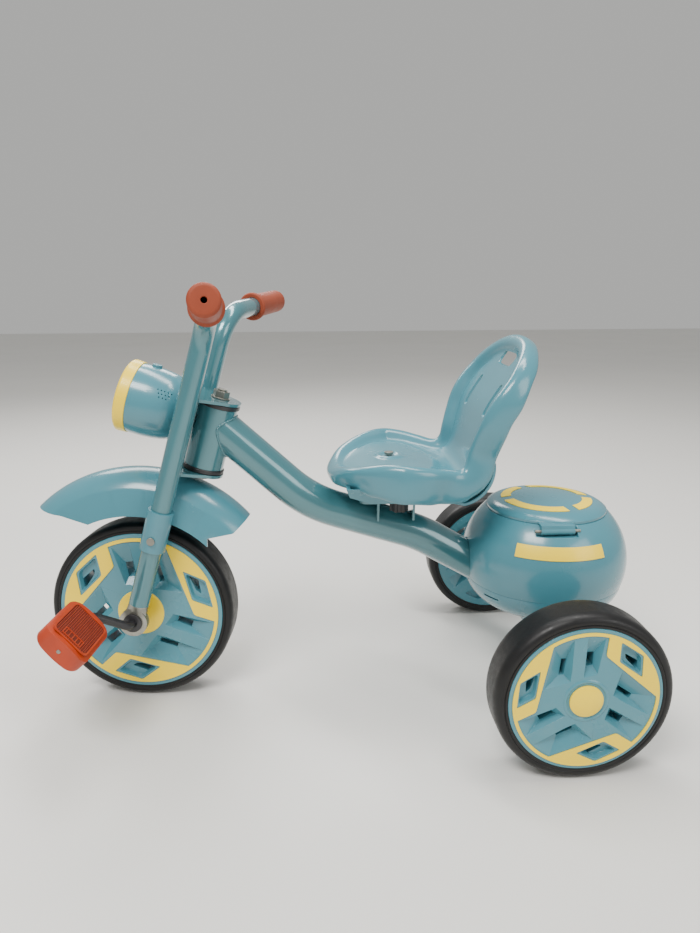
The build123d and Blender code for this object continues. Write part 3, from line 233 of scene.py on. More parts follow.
def edge_wear_group():
    """Mask of rubbed edges, broken up by noise."""
    group, start, end = new_group(
        "Edge wear",
        (
            ("Vector", "NodeSocketVector", None),
            ("Sharpness", "NodeSocketFloat", 0.56),
            ("Breakup scale", "NodeSocketFloat", 90.0),
            ("Amount", "NodeSocketFloat", 0.5),
        ),
        (("Mask", "NodeSocketFloat"),),
    )
    shape = put(group, "ShaderNodeNewGeometry", (-450, 120))
    edge = put(group, "ShaderNodeMapRange", (-230, 120), {"From Max": 0.72})
    broken = put(group, "ShaderNodeTexNoise", (-450, -120), {"Detail": 6.0, "Roughness": 0.65})
    bits = put(group, "ShaderNodeMapRange", (-230, -120), {"From Min": 0.42, "From Max": 0.62})
    both = put(group, "ShaderNodeMath", (0, 40), operation="MULTIPLY")
    share = put(group, "ShaderNodeMath", (200, 40), operation="MULTIPLY", use_clamp=True)
    join(group, shape, "Pointiness", edge, "Value")
    join(group, start, "Sharpness", edge, "From Min")
    join(group, start, "Vector", broken, "Vector")
    join(group, start, "Breakup scale", broken, "Scale")
    join(group, broken, "Fac", bits, "Value")
    join(group, edge, "Result", both, 0)
    join(group, bits, "Result", both, 1)
    join(group, both, "Value", share, 0)
    join(group, start, "Amount", share, 1)
    join(group, share, "Value", end, "Mask")
    return group


def surface_grain_group():
    """Fine height for a bump, with a broader mask for uneven gloss."""
    group, start, end = new_group(
        "Surface grain",
        (
            ("Vector", "NodeSocketVector", None),
            ("Grain scale", "NodeSocketFloat", 900.0),
            ("Wave scale", "NodeSocketFloat", 25.0),
            ("Wave share", "NodeSocketFloat", 0.5),
        ),
        (("Height", "NodeSocketFloat"), ("Smear", "NodeSocketFloat")),
    )
    grain = put(group, "ShaderNodeTexNoise", (-450, 120), {"Detail": 2.0, "Roughness": 0.5})
    waves = put(group, "ShaderNodeTexNoise", (-450, -120), {"Detail": 3.0, "Roughness": 0.6})
    blend = put(group, "ShaderNodeMix", (0, 60), data_type="FLOAT")
    smear = put(group, "ShaderNodeMapRange", (0, -160), {"From Min": 0.3, "From Max": 0.7})
    join(group, start, "Vector", grain, "Vector")
    join(group, start, "Grain scale", grain, "Scale")
    join(group, start, "Vector", waves, "Vector")
    join(group, start, "Wave scale", waves, "Scale")
    join(group, start, "Wave share", blend, 0)
    join(group, grain, "Fac", blend, 2)
    join(group, waves, "Fac", blend, 3)
    join(group, waves, "Fac", smear, "Value")
    join(group, blend, 0, end, "Height")
    join(group, smear, "Result", end, "Smear")
    return group


def floor_dust_group():
    """Mask of dust and scuffs that is strongest low down, near the floor."""
    group, start, end = new_group(
        "Floor dust",
        (
            ("Vector", "NodeSocketVector", None),
            ("Reach", "NodeSocketFloat", 0.12),
            ("Scale", "NodeSocketFloat", 60.0),
            ("Amount", "NodeSocketFloat", 0.4),
        ),
        (("Mask", "NodeSocketFloat"),),
    )
    axes = put(group, "ShaderNodeSeparateXYZ", (-450, 120))
    low = put(group, "ShaderNodeMapRange", (-230, 120), {"From Min": 0.0, "To Min": 1.0, "To Max": 0.15})
    specks = put(group, "ShaderNodeTexNoise", (-450, -120), {"Detail": 7.0, "Roughness": 0.7})
    bits = put(group, "ShaderNodeMapRange", (-230, -120), {"From Min": 0.45, "From Max": 0.75})
    both = put(group, "ShaderNodeMath", (0, 40), operation="MULTIPLY")
    share = put(group, "ShaderNodeMath", (200, 40), operation="MULTIPLY", use_clamp=True)
    join(group, start, "Vector", axes, "Vector")
    join(group, axes, "Z", low, "Value")
    join(group, start, "Reach", low, "From Max")
    join(group, start, "Vector", specks, "Vector")
    join(group, start, "Scale", specks, "Scale")
    join(group, specks, "Fac", bits, "Value")
    join(group, low, "Result", both, 0)
    join(group, bits, "Result", both, 1)
    join(group, both, "Value", share, 0)
    join(group, start, "Amount", share, 1)
    join(group, share, "Value", end, "Mask")
    return group


GROUP_MAKERS = {
    "Colour drift": colour_drift_group,
    "Edge wear": edge_wear_group,
    "Surface grain": surface_grain_group,
    "Floor dust": floor_dust_group,
}


def shared_group(name):
    """The shader group of that name, built the first time it is asked for."""
    return bpy.data.node_groups.get(name) or GROUP_MAKERS[name]()


def place_group(tree, name, place, **values):
    """Put a shared group in a material, with its own values."""
    made = put(tree, "ShaderNodeGroup", place, node_tree=shared_group(name))
    for key, value in values.items():
        made.inputs[key.replace("_", " ").capitalize()].default_value = value
    return made


# ------------------------------------------------------------------ materials


def shade(colour, factor):
    """A colour made darker or lighter, as four numbers."""
    return tuple(min(1.0, part * factor) for part in colour) + (1.0,)


def surface_material(
    name,
    colour,
    gloss,
    drift=0.86,
    drift_scale=14.0,
    metallic=0.0,
    coat=0.0,
    coat_roughness=0.08,
    grain_scale=900.0,
    wave_scale=25.0,
    wave_share=0.5,
    bump=0.00012,
    wear=0.35,
    wear_colour=None,
    dust=0.25,
    dust_colour=(0.42, 0.40, 0.35, 1.0),
    specular=0.5,
):
    """Paint, plastic, rubber or metal: drifting colour, rubbed edges, dust, uneven gloss and fine bump."""
    known = bpy.data.materials.get(name)
    if known:
        return known
    material = bpy.data.materials.new(name)
    material.use_nodes = True
    tree = material.node_tree
    shader = tree.nodes["Principled BSDF"]
    where = put(tree, "ShaderNodeTexCoord", (-1250, 0))
    clouds = place_group(tree, "Colour drift", (-950, 220), scale=drift_scale, amount=0.8)
    clouds.inputs["Base"].default_value = shade(colour, 1.0)
    clouds.inputs["Drift"].default_value = shade(colour, drift)
    edges = place_group(tree, "Edge wear", (-950, -20), amount=wear)
    specks = place_group(tree, "Floor dust", (-950, -240), amount=dust)
    grain = place_group(
        tree, "Surface grain", (-950, -460), grain_scale=grain_scale, wave_scale=wave_scale,
        wave_share=wave_share,
    )
    for group in (clouds, edges, specks, grain):
        join(tree, where, "Object", group, "Vector")
    rubbed = put(tree, "ShaderNodeMix", (-600, 200), data_type="RGBA")
    rubbed.inputs[7].default_value = wear_colour or shade(colour, 1.45)
    dusty = put(tree, "ShaderNodeMix", (-350, 200), data_type="RGBA")
    dusty.inputs[7].default_value = dust_colour
    join(tree, clouds, "Color", rubbed, 6)
    join(tree, edges, "Mask", rubbed, 0)
    join(tree, rubbed, 2, dusty, 6)
    join(tree, specks, "Mask", dusty, 0)
    join(tree, dusty, 2, shader, "Base Color")
    uneven = put(tree, "ShaderNodeMapRange", (-600, -120), {"To Min": gloss[0], "To Max": gloss[1]})
    rougher = put(tree, "ShaderNodeMath", (-350, -120), {1: 0.3}, operation="MULTIPLY_ADD")
    join(tree, grain, "Smear", uneven, "Value")
    join(tree, specks, "Mask", rougher, 0)
    join(tree, uneven, "Result", rougher, 2)
    join(tree, rougher, "Value", shader, "Roughness")
    relief = put(tree, "ShaderNodeBump", (-350, -420), {"Strength": 0.6, "Distance": bump})
    join(tree, grain, "Height", relief, "Height")
    join(tree, relief, "Normal", shader, "Normal")
    shader.inputs["Metallic"].default_value = metallic
    shader.inputs["Coat Weight"].default_value = coat
    shader.inputs["Coat Roughness"].default_value = coat_roughness
    shader.inputs["Specular IOR Level"].default_value = specular
    return material


def paint(colours):
    """Gloss enamel over steel, a little orange-peel in the coat."""
    return surface_material(
        "gloss_enamel", colours.paint, (0.2, 0.27), drift=0.94, metallic=0.25, coat=1.0, coat_roughness=0.04,
        grain_scale=1800.0, wave_scale=30.0, wave_share=0.3, bump=0.00001, wear=0.06,
        wear_colour=(0.35, 0.45, 0.46, 1.0), dust=0.03,
    )


def blue_plastic(colours):
    """Semi-gloss moulded plastic of the seat, box, lamp and fender."""
    return surface_material(
        "blue_moulding", colours.moulding, (0.2, 0.28), drift=0.94, coat=0.35, coat_roughness=0.12,
        grain_scale=1500.0, wave_scale=18.0, wave_share=0.4, bump=0.00003, wear=0.05, dust=0.04,
    )


def hub_plastic(colours):
    """The same plastic in the wheels, a shade deeper and dustier."""
    return surface_material(
        "wheel_moulding", tuple(part * 1.08 for part in colours.moulding), (0.2, 0.3), drift=0.93, coat=0.3,
        coat_roughness=0.14, grain_scale=1300.0, wave_scale=20.0, bump=0.00003, wear=0.08, dust=0.1,
    )


def yellow_plastic(colours):
    """Warm yellow moulded trim."""
    return surface_material(
        "yellow_moulding", colours.trim, (0.32, 0.42), drift=0.96, coat=0.1, grain_scale=1200.0, bump=0.00004,
        wear=0.06, wear_colour=(0.98, 0.84, 0.25, 1.0), dust=0.06,
    )


def pedal_plastic(colours):
    """Orange plastic of the pedals, scuffed by shoes."""
    return surface_material(
        "pedal_orange", colours.pedal, (0.42, 0.58), drift=0.8, drift_scale=40.0, grain_scale=700.0,
        bump=0.00015, wear=0.25, wear_colour=(0.66, 0.15, 0.05, 1.0), dust=0.06,
    )


def painted_tread_shade(colours):
    """Pedal orange darkened to a painted shade for the floor between the pedals' studs."""
    # The 0.3 darkening is painted shade, not a colour of the plastic
    return surface_material(
        "tread_shadow", tuple(part * 0.3 for part in colours.pedal), (0.6, 0.7), drift=0.8, grain_scale=700.0,
        bump=0.0001, wear=0.0, dust=0.05,
    )


def grip_rubber(colours):
    """Soft matt grips."""
    return surface_material(
        "grip_terracotta", colours.grip, (0.5, 0.64), drift=0.84, drift_scale=55.0, grain_scale=1500.0,
        wave_share=0.25, bump=0.0002, wear=0.1, dust=0.0, specular=0.3,
    )


def tyre_rubber(colours):
    """Dull black foam rubber with floor dust ground in."""
    return surface_material(
        "tyre_black", colours.rubber, (0.34, 0.5), drift=1.7, drift_scale=9.0, grain_scale=1600.0,
        wave_scale=120.0, wave_share=0.35, bump=0.00016, wear=0.1, wear_colour=(0.03, 0.03, 0.03, 1.0),
        dust=0.12, dust_colour=(0.06, 0.056, 0.05, 1.0), specular=0.32,
    )


def black_plastic():
    """Black moulded bushes and knobs, and the coated crank."""
    return surface_material(
        "black_moulding", (0.014, 0.014, 0.016), (0.3, 0.45), drift=1.6, grain_scale=1000.0, bump=0.0001,
        wear=0.4, wear_colour=(0.08, 0.08, 0.085, 1.0), dust=0.15,
    )


def zinc_metal():
    """Zinc-plated steel of the dropouts, axle and fasteners."""
    return surface_material(
        "zinc_plate", (0.30, 0.295, 0.26), (0.32, 0.44), drift=0.86, drift_scale=160.0, metallic=1.0,
        grain_scale=700.0, wave_scale=60.0, bump=0.00006, wear=0.5, wear_colour=(0.5, 0.49, 0.45, 1.0),
        dust=0.05,
    )


def chrome_metal():
    """Bright reflector behind the lamp's lens."""
    return surface_material(
        "bright_reflector", (0.86, 0.86, 0.85), (0.05, 0.12), drift=0.95, metallic=1.0, bump=0.00002,
        wear=0.1, dust=0.0,
    )


def circuit_green():
    """Solder mask of the lamp's circuit board."""
    return surface_material(
        "board_green", (0.03, 0.2, 0.09), (0.3, 0.45), drift=0.75, drift_scale=300.0, bump=0.00005,
        wear=0.2, dust=0.0,
    )


def led_white():
    """Milky white lamp diode."""
    return surface_material(
        "milky_diode", (0.9, 0.89, 0.8), (0.15, 0.25), drift=0.92, coat=0.5, bump=0.00002, wear=0.0, dust=0.0,
    )


def lens_glass():
    """Clear lens with a faintly uneven surface."""
    known = bpy.data.materials.get("clear_lens")
    if known:
        return known
    material = bpy.data.materials.new("clear_lens")
    material.use_nodes = True
    tree = material.node_tree
    shader = tree.nodes["Principled BSDF"]
    where = put(tree, "ShaderNodeTexCoord", (-900, 0))
    grain = place_group(
        tree, "Surface grain", (-650, -200), grain_scale=400.0, wave_scale=60.0, wave_share=0.7
    )
    join(tree, where, "Object", grain, "Vector")
    uneven = put(tree, "ShaderNodeMapRange", (-350, 0), {"To Min": 0.02, "To Max": 0.07})
    relief = put(tree, "ShaderNodeBump", (-350, -250), {"Strength": 0.4, "Distance": 0.0001})
    join(tree, grain, "Smear", uneven, "Value")
    join(tree, uneven, "Result", shader, "Roughness")
    join(tree, grain, "Height", relief, "Height")
    join(tree, relief, "Normal", shader, "Normal")
    shader.inputs["Base Color"].default_value = (0.93, 0.97, 0.97, 1.0)
    shader.inputs["Transmission Weight"].default_value = 1.0
    shader.inputs["IOR"].default_value = 1.47
    return material


# ------------------------------------------------------------------ mesh helpers


def add_piece(name, bm, material, body, replaced=(), sharp=30.0):
    """Turn a bmesh into a finished, smooth-shaded piece on its body."""
    mesh = bpy.data.meshes.new(name)
    bm.to_mesh(mesh)
    bm.free()
    mesh.materials.append(material)
    mesh.shade_smooth()
    mesh.set_sharp_from_angle(angle=radians(sharp))
    piece = bpy.data.objects.new(name, mesh)
    bpy.context.scene.collection.objects.link(piece)
    settle(piece, body, replaced)
    return piece


def settle(piece, body, replaced=()):
    """Give a piece its body and the nodes it stands for."""
    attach(piece, body)
    if replaced:
        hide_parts(*replaced)


def soften(piece, width, segments=2, limit=32.0):
    """Round a piece's edges with a bevel that also shades them."""
    bevel = piece.modifiers.new("Rounded edges", "BEVEL")
    bevel.width = width
    bevel.segments = segments
    bevel.limit_method = "ANGLE"
    bevel.angle_limit = radians(limit)
    bevel.use_clamp_overlap = True
    bevel.harden_normals = True
    bevel.miter_outer = "MITER_ARC"


def freeze(piece):
    """Swap a piece's mesh for its evaluated one, and drop its modifiers."""
    evaluated = piece.evaluated_get(bpy.context.evaluated_depsgraph_get())
    mesh = bpy.data.meshes.new_from_object(evaluated)
    piece.modifiers.clear()
    piece.data = mesh
    return piece


def merged_copy(node):
    """A bmesh of a frame node with its loose triangles merged and its flat faces joined."""
    bm = bmesh.new()
    bm.from_mesh(frame["nodes"][node].data)
    bmesh.ops.remove_doubles(bm, verts=bm.verts, dist=1e-6)
    bmesh.ops.dissolve_limit(bm, angle_limit=radians(0.4), verts=bm.verts, edges=bm.edges)
    return bm


def dress_node(node, material, bevel=0.0004, sharp=28.0, limit=30.0):
    """Stand a merged, softened copy of a frame node in its place."""
    body = body_of(frame["nodes"][node])[0]
    piece = add_piece(f"{node}_shape", merged_copy(node), material, body, (node,), sharp)
    if bevel:
        soften(piece, bevel, 2, limit)
        freeze(piece)
    return piece


def lathe(bm, place, profile, segments, closed=True):
    """Turn a profile of (along, radius) points about a frame's y axis, merging points on the axis."""
    rings = []
    for along, radius in profile:
        if radius < 1e-7:
            rings.append([bm.verts.new(place @ Vector((0, along, 0)))])
            continue
        ring = []
        for step in range(segments):
            turn = 2 * pi * step / segments
            ring.append(bm.verts.new(place @ Vector((radius * cos(turn), along, radius * sin(turn)))))
        rings.append(ring)
    pairs = list(zip(rings, rings[1:]))
    if closed:
        pairs.append((rings[-1], rings[0]))
    for ring, following in pairs:
        for step in range(segments):
            after = (step + 1) % segments
            corners = [ring[step % len(ring)], ring[after % len(ring)]]
            corners += [following[after % len(following)], following[step % len(following)]]
            unique = list(dict.fromkeys(corners))
            if len(unique) > 2:
                bm.faces.new(unique)


def oblong(left, right, near, far):
    """Corners of an upright rectangle."""
    return [Vector(corner) for corner in ((left, near), (right, near), (right, far), (left, far))]


def slab(bm, loops, place, low, high):
    """Flat slab between two heights of a frame, from an outer loop and the holes inside it."""
    found = []
    for height in (low, high):
        found.append(flat_sheet(bm, loops, lambda point: place @ Vector((point[0], point[1], height))))
    for lower, upper in zip(*found):
        bridge_loops(bm, lower, upper)
    outward(bm)


def outward(bm):
    """Merge doubles and point every face outwards."""
    bmesh.ops.remove_doubles(bm, verts=bm.verts, dist=2e-6)
    bmesh.ops.recalc_face_normals(bm, faces=bm.faces)


# ------------------------------------------------------------------ wheels

HUB_FACETS = 72
COLLAR_SHARE = 0.30
TRIM_INNER_SHARE = 0.905
TRIM_OUTER_SHARE = 0.947
PATCHES = 3
PATCH_STEP = 360 / PATCHES
PATCH_HALF_ANGLE = 37

# Outlines on a wheel's face, as (degrees from the patch's middle, share of the disc's radius)
PATCH = ((-PATCH_HALF_ANGLE, TRIM_INNER_SHARE), (33, 0.655), (PATCH_HALF_ANGLE, TRIM_INNER_SHARE))
WINDOW = ((26, 0.895), (3, 0.915), (-15, 0.76), (16, 0.655))
WINDOW_SLOT = ((14, 0.775), (-2, 0.83), (-9, 0.75), (9, 0.725))
POCKET_WIDE = ((-37, 0.885), (-55, 0.885), (-42, 0.47), (-29, 0.35), (4, 0.585))
POCKET_WIDE_SLOT = ((-38, 0.635), (-43.5, 0.605), (-27.5, 0.43), (-22, 0.47))
POCKET_NARROW = ((-66, 0.885), (-81, 0.89), (-86, 0.39), (-59, 0.33))
POCKET_NARROW_SLOT = ((-68.5, 0.63), (-76.5, 0.635), (-79.5, 0.45), (-69.5, 0.44))

# Radii inside a wheel: its moulded disc, the drum that the tyre sits on, and its bore
FRONT_RADII = {"disc": 0.107, "drum": 0.097, "bore": 0.00535}
REAR_RADII = {"disc": 0.0855, "drum": 0.077, "bore": 0.00605}
FRONT_TYRE = {"radius": 0.120, "half": 0.025}


def face_corners(outline, middle, turn, radius, scale=1.0):
    """Corners of an outline on a wheel's face, turned to its patch and scaled about their own middle."""
    corners = []
    for angle, share in outline:
        turned = radians(middle + turn * angle)
        corners.append(Vector((radius * share * cos(turned), radius * share * sin(turned))))
    balance = sum(corners, Vector((0, 0))) / len(corners)
    return [balance + (corner - balance) * scale for corner in corners]


def ring_corners(radius, count):
    """Points round a circle on a wheel's face."""
    turns = [2 * pi * i / count for i in range(count)]
    return [Vector((radius * cos(turn), radius * sin(turn))) for turn in turns]


def rounded_corners(corners, radius, steps=4):
    """A closed outline with each corner replaced by a short arc."""
    smooth = []
    for index, corner in enumerate(corners):
        before = corners[index - 1] - corner
        after = corners[(index + 1) % len(corners)] - corner
        reach = min(radius, before.length * 0.4, after.length * 0.4)
        start = corner + before.normalized() * reach
        end = corner + after.normalized() * reach
        for step in range(steps + 1):
            t = step / steps
            smooth.append(start * (1 - t) ** 2 + corner * 2 * t * (1 - t) + end * t**2)
    return smooth


def crosses_inside(point, loops):
    """True if a point is inside an odd number of closed loops."""
    inside = False
    for loop in loops:
        for first, second in zip(loop, loop[1:] + loop[:1]):
            if (first.y > point.y) != (second.y > point.y):
                at = first.x + (point.y - first.y) / (second.y - first.y) * (second.x - first.x)
                if point.x < at:
                    inside = not inside
    return inside


def flat_sheet(bm, loops, lift):
    """Fill between an outer loop and the holes inside it. Returns the vertices of each loop, in order."""
    points = [point for loop in loops for point in loop]
    edges, first = [], 0
    for loop in loops:
        count = len(loop)
        edges += [(first + i, first + (i + 1) % count) for i in range(count)]
        first += count
    coords, _, faces, origins, _, _ = delaunay_2d_cdt(points, edges, [], 1, 1e-7)
    verts = [bm.verts.new(lift(point)) for point in coords]
    for face in faces:
        middle = sum((coords[i] for i in face), Vector((0, 0))) / len(face)
        if crosses_inside(middle, loops):
            bm.faces.new([verts[i] for i in face])
    place_of = {}
    for index, sources in enumerate(origins):
        for source in sources:
            place_of[source] = verts[index]
    found, first = [], 0
    for loop in loops:
        found.append([place_of[first + i] for i in range(len(loop))])
        first += len(loop)
    return found


def bridge_loops(bm, outer, inner):
    """Faces between two closed loops, each point joined to the nearest share of the other loop."""
    count, other = len(outer), len(inner)
    if count == other:
        for i in range(count):
            bm.faces.new((outer[i], outer[(i + 1) % count], inner[(i + 1) % count], inner[i]))
        return
    i = j = 0
    while i < count or j < other:
        if j == other or (i < count and (i + 1) / count <= (j + 1) / other):
            bm.faces.new((outer[i % count], outer[(i + 1) % count], inner[j % other]))
            i += 1
        else:
            bm.faces.new((outer[i % count], inner[(j + 1) % other], inner[j % other]))
            j += 1


def wheel_half(bm, place, side, wheel, middle, turn, sizes):
    """One face of a wheel's hub, down to the wheel's middle plane, with its rim."""
    half, disc_r, drum_r, bore_r = (wheel[key] for key in ("half", "disc", "drum", "bore"))

    def at(height):
        """Lifts points of the face's plane to a height over the middle plane."""
        return lambda point: place @ Vector((point[0], side * height, point[1]))

    facets = sizes.facets
    rim_round = 0.0012
    to_middle = place.to_3x3() @ Vector((0, side, 0))
    loops = [ring_corners(disc_r - rim_round, facets), ring_corners(COLLAR_SHARE * disc_r, HUB_FACETS)]
    pockets = []
    for patch in range(PATCHES):
        angle = middle + PATCH_STEP * patch
        for outline, slot, depth in (
            (POCKET_WIDE, POCKET_WIDE_SLOT, sizes.pocket_depth),
            (POCKET_NARROW, POCKET_NARROW_SLOT, sizes.pocket_depth),
        ):
            pockets.append(
                (face_corners(outline, angle, turn, disc_r), face_corners(slot, angle, turn, disc_r), depth)
            )
        rim = rounded_corners(face_corners(WINDOW, angle, turn, disc_r, 0.84), 0.005)
        floor = rounded_corners(face_corners(WINDOW, angle, turn, disc_r, 0.70), 0.004)
        slot = rounded_corners(face_corners(WINDOW_SLOT, angle, turn, disc_r, 0.95), 0.0025)
        pockets.append((rim, floor, sizes.window_depth, slot))
    loops += [pocket[0] for pocket in pockets]
    found = flat_sheet(bm, loops, at(half))
    rim_loop, hub_loop = found[0], found[1]
    for pocket, top in zip(pockets, found[2:]):
        floor_at = at(half - pocket[2])
        inner = [bm.verts.new(floor_at(point)) for point in pocket[1]]
        if len(top) == len(inner):
            bridge_loops(bm, top, inner)
        else:
            # Five corners above a four-cornered slot: the third and fourth share a corner of the slot
            shared = (0, 1, 2, 2, 3)
            for i in range(5):
                low, high = inner[shared[i]], inner[shared[(i + 1) % 5]]
                corners = [top[i], top[(i + 1) % 5], high, low]
                bm.faces.new(list(dict.fromkeys(corners)))
        tunnel = inner
        if len(pocket) == 4:
            slot_loops = flat_sheet(bm, [pocket[1], pocket[3]], floor_at)
            tunnel = slot_loops[1]
        deep = [bm.verts.new(vert.co - to_middle * (half - pocket[2])) for vert in tunnel]
        for i in range(len(tunnel)):
            after = (i + 1) % len(tunnel)
            bm.faces.new((tunnel[i], tunnel[after], deep[after], deep[i]))
    # Rounded rim, then the seat of the tyre down to the middle plane
    previous = rim_loop
    for radius, height in (
        (disc_r - 0.0004, half - 0.0003),
        (disc_r, half - rim_round),
        (disc_r, half - 0.003),
        (drum_r, half - 0.003),
        (drum_r, 0.0),
    ):
        ring = [bm.verts.new(at(height)(point)) for point in ring_corners(radius, facets)]
        bridge_loops(bm, previous, ring)
        previous = ring
    # Raised collar round the hub, then the bore
    previous = hub_loop
    for share, height in (
        (0.285, half + 0.0009),
        (0.278, half + 0.0011),
        (0.262, half + 0.0011),
        (0.255, half + 0.0008),
        (0.245, half),
        (0.20, half),
    ):
        ring = [bm.verts.new(at(height)(point)) for point in ring_corners(share * disc_r, HUB_FACETS)]
        bridge_loops(bm, previous, ring)
        previous = ring
    for radius, height in ((bore_r, half), (bore_r, 0.0)):
        ring = [bm.verts.new(at(height)(point)) for point in ring_corners(radius, HUB_FACETS)]
        bridge_loops(bm, previous, ring)
        previous = ring


def trim_outline(disc_r, middle, turn):
    """Inner outline of the yellow trim: the ring's inside, stepping in round each patch."""
    points = []
    corner_round = 0.003
    gap = PATCH_STEP - 2 * PATCH_HALF_ANGLE
    for patch in range(PATCHES):
        angle = middle + PATCH_STEP * patch * turn
        first, corner, last = face_corners(PATCH, angle, turn, disc_r)
        for step in range(4):
            points.append(first.lerp(corner, step / 4 * 0.94))
        along, away = (first - corner).normalized(), (last - corner).normalized()
        for step in range(5):
            t = step / 4
            start, end = corner + along * corner_round, corner + away * corner_round
            points.append(start * (1 - t) ** 2 + corner * 2 * t * (1 - t) + end * t**2)
        points.append(last)
        for step in range(1, 12):
            turned = radians(angle + turn * (PATCH_HALF_ANGLE + gap * step / 12))
            reach = TRIM_INNER_SHARE * disc_r
            points.append(Vector((reach * cos(turned), reach * sin(turned))))
    return points


def trim_mesh(place, side, half, disc_r, middle, turn, sizes):
    """The yellow ring and its three patches on one face of a wheel."""
    bm = bmesh.new()
    loops = [ring_corners(TRIM_OUTER_SHARE * disc_r, sizes.facets), trim_outline(disc_r, middle, turn)]
    for patch in range(PATCHES):
        window = face_corners(WINDOW, middle + PATCH_STEP * patch, turn, disc_r)
        loops.append(rounded_corners(window, 0.0025))
    sheets = []
    for height in (half + 0.00002, half + sizes.trim_height):
        along = side * height
        sheets.append(flat_sheet(bm, loops, lambda point: place @ Vector((point[0], along, point[1]))))
    for lower, upper in zip(*sheets):
        bridge_loops(bm, lower, upper)
    outward(bm)
    return bm


def tyre_profile(radius, half, disc_r, drum_r, tread):
    """Closed (along, radius) section of a tyre: soft shoulders, a sidewall step and the seat in the hub."""
    upper = [
        (half - 0.0031, drum_r + 0.0001),
        (half - 0.0031, disc_r + 0.0001),
        (half - 0.0006, disc_r + 0.0002),
        (half - 0.0001, disc_r + 0.0008),
        (half, disc_r + 0.0018),
        (half - 0.0001, disc_r + 0.0030),
        (half - 0.0009, disc_r + 0.0034),
        (half - 0.0009, disc_r + 0.0040),
        (half - 0.0002, disc_r + 0.0046),
    ]
    start = disc_r + 0.0052
    steps = 12
    for step in range(steps + 1):
        turn = radians(90 * step / steps)
        along = tread + (half - tread) * cos(turn) ** 0.85
        upper.append((along, start + (radius - start) * sin(turn) ** 0.9))
    lower = [(-along, out) for along, out in reversed(upper)]
    return upper + lower


def wheel_sizes_of(name):
    """Radii and half width of a wheel: the front's are given, and a rear tyre's radius and half width are
    read from its box where the wheel stands square.
    """
    if name == "front":
        return FRONT_TYRE | FRONT_RADII
    low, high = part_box(f"{name}_tyre")
    return {"radius": (high[2] - low[2]) / 2, "half": (high[1] - low[1]) / 2} | REAR_RADII


# ------------------------------------------------------------------ seat


def smooth_path(points, count):
    """Points evenly spaced along a smooth curve through the given ones, of any dimension."""
    samples = []
    per_span = 24
    last = len(points) - 1
    for index in range(last):
        before = points[max(index - 1, 0)]
        here, there = points[index], points[index + 1]
        beyond = points[min(index + 2, last)]
        for step in range(per_span):
            t = step / per_span
            samples.append(
                0.5
                * (
                    2 * here
                    + (there - before) * t
                    + (2 * before - 5 * here + 4 * there - beyond) * t**2
                    + (3 * here - before - 3 * there + beyond) * t**3
                )
            )
    samples.append(points[-1].copy())
    lengths = [0.0]
    for first, second in zip(samples, samples[1:]):
        lengths.append(lengths[-1] + (second - first).length)
    even = []
    for step in range(count):
        wanted = lengths[-1] * step / (count - 1)
        index = min(max(bisect_left(lengths, wanted), 1), len(samples) - 1)
        span = lengths[index] - lengths[index - 1]
        t = (wanted - lengths[index - 1]) / span if span else 0.0
        even.append(samples[index - 1].lerp(samples[index], t))
    return even


def ramp(value, table):
    """Smoothly read a table of (position, value) rows."""
    if value <= table[0][0]:
        return table[0][1]
    for (low, first), (high, second) in zip(table, table[1:]):
        if value <= high:
            t = (value - low) / (high - low)
            t = t * t * (3 - 2 * t)
            return first + (second - first) * t
    return table[-1][1]


# Middle line of the seat's surface from its front to its top, as (ahead of the rear axle, above the floor),
# in millimetres. The tables below it read by the distance ahead on the pan and by the height on the back.
SEAT_LINE = (
    (267, 301), (250, 309.5), (225, 317), (195, 320.5), (165, 319), (140, 314.5), (121, 311), (107, 313.5),
    (98, 324), (92.5, 342), (86.5, 362), (77, 388), (61, 414), (40, 444), (25, 465),
)
PAN_HALF = ((112, 96), (125, 101), (150, 112), (170, 116.4), (185, 117))
BACK_HALF = ((314, 92.5), (335, 92), (355, 97), (375, 103), (402, 106))
RIM_RISE = ((267, 6), (245, 10), (193, 14), (142, 12), (112, 11))
BACK_RISE = ((314, 11), (345, 13), (400, 13), (430, 11), (465, 9))
SKIRT_DEPTH = ((267, 13), (250, 16), (225, 25), (192, 31), (150, 31), (134, 29), (110, 27))
BACK_DEPTH = ((314, 24), (345, 21), (400, 20), (440, 14), (465, 10))

# The pan's front arc, the fixing screw's place and the moulded oval round it, in millimetres
FRONT_END = SEAT_LINE[0][0]
PAN_CENTRE, PAN_RADIUS, PAN_ARC = 148.4, 122.6, 72.6
SCREW_AHEAD = 190
OVAL_HALF_LONG, OVAL_HALF_WIDE, OVAL_DEPTH = 66, 82, 1.7
RING_INNER, RING_OUTER, RING_HEIGHT = 8, 21, 2.2


def seat_line():
    """Evenly spaced middle line of the seat, as (ahead, height) points in millimetres."""
    return smooth_path([Vector(point) for point in SEAT_LINE], 400)


def along_of(line, ahead=None, height=None):
    """Arc length along the seat's middle line at a distance ahead on the pan, or a height on the back."""
    step = (line[1] - line[0]).length
    if ahead is not None:
        index = min(range(len(line) // 2 + 40), key=lambda i: abs(line[i].x - ahead))
    else:
        index = min(range(len(line) // 2 - 20, len(line)), key=lambda i: abs(line[i].y - height))
    return index * step


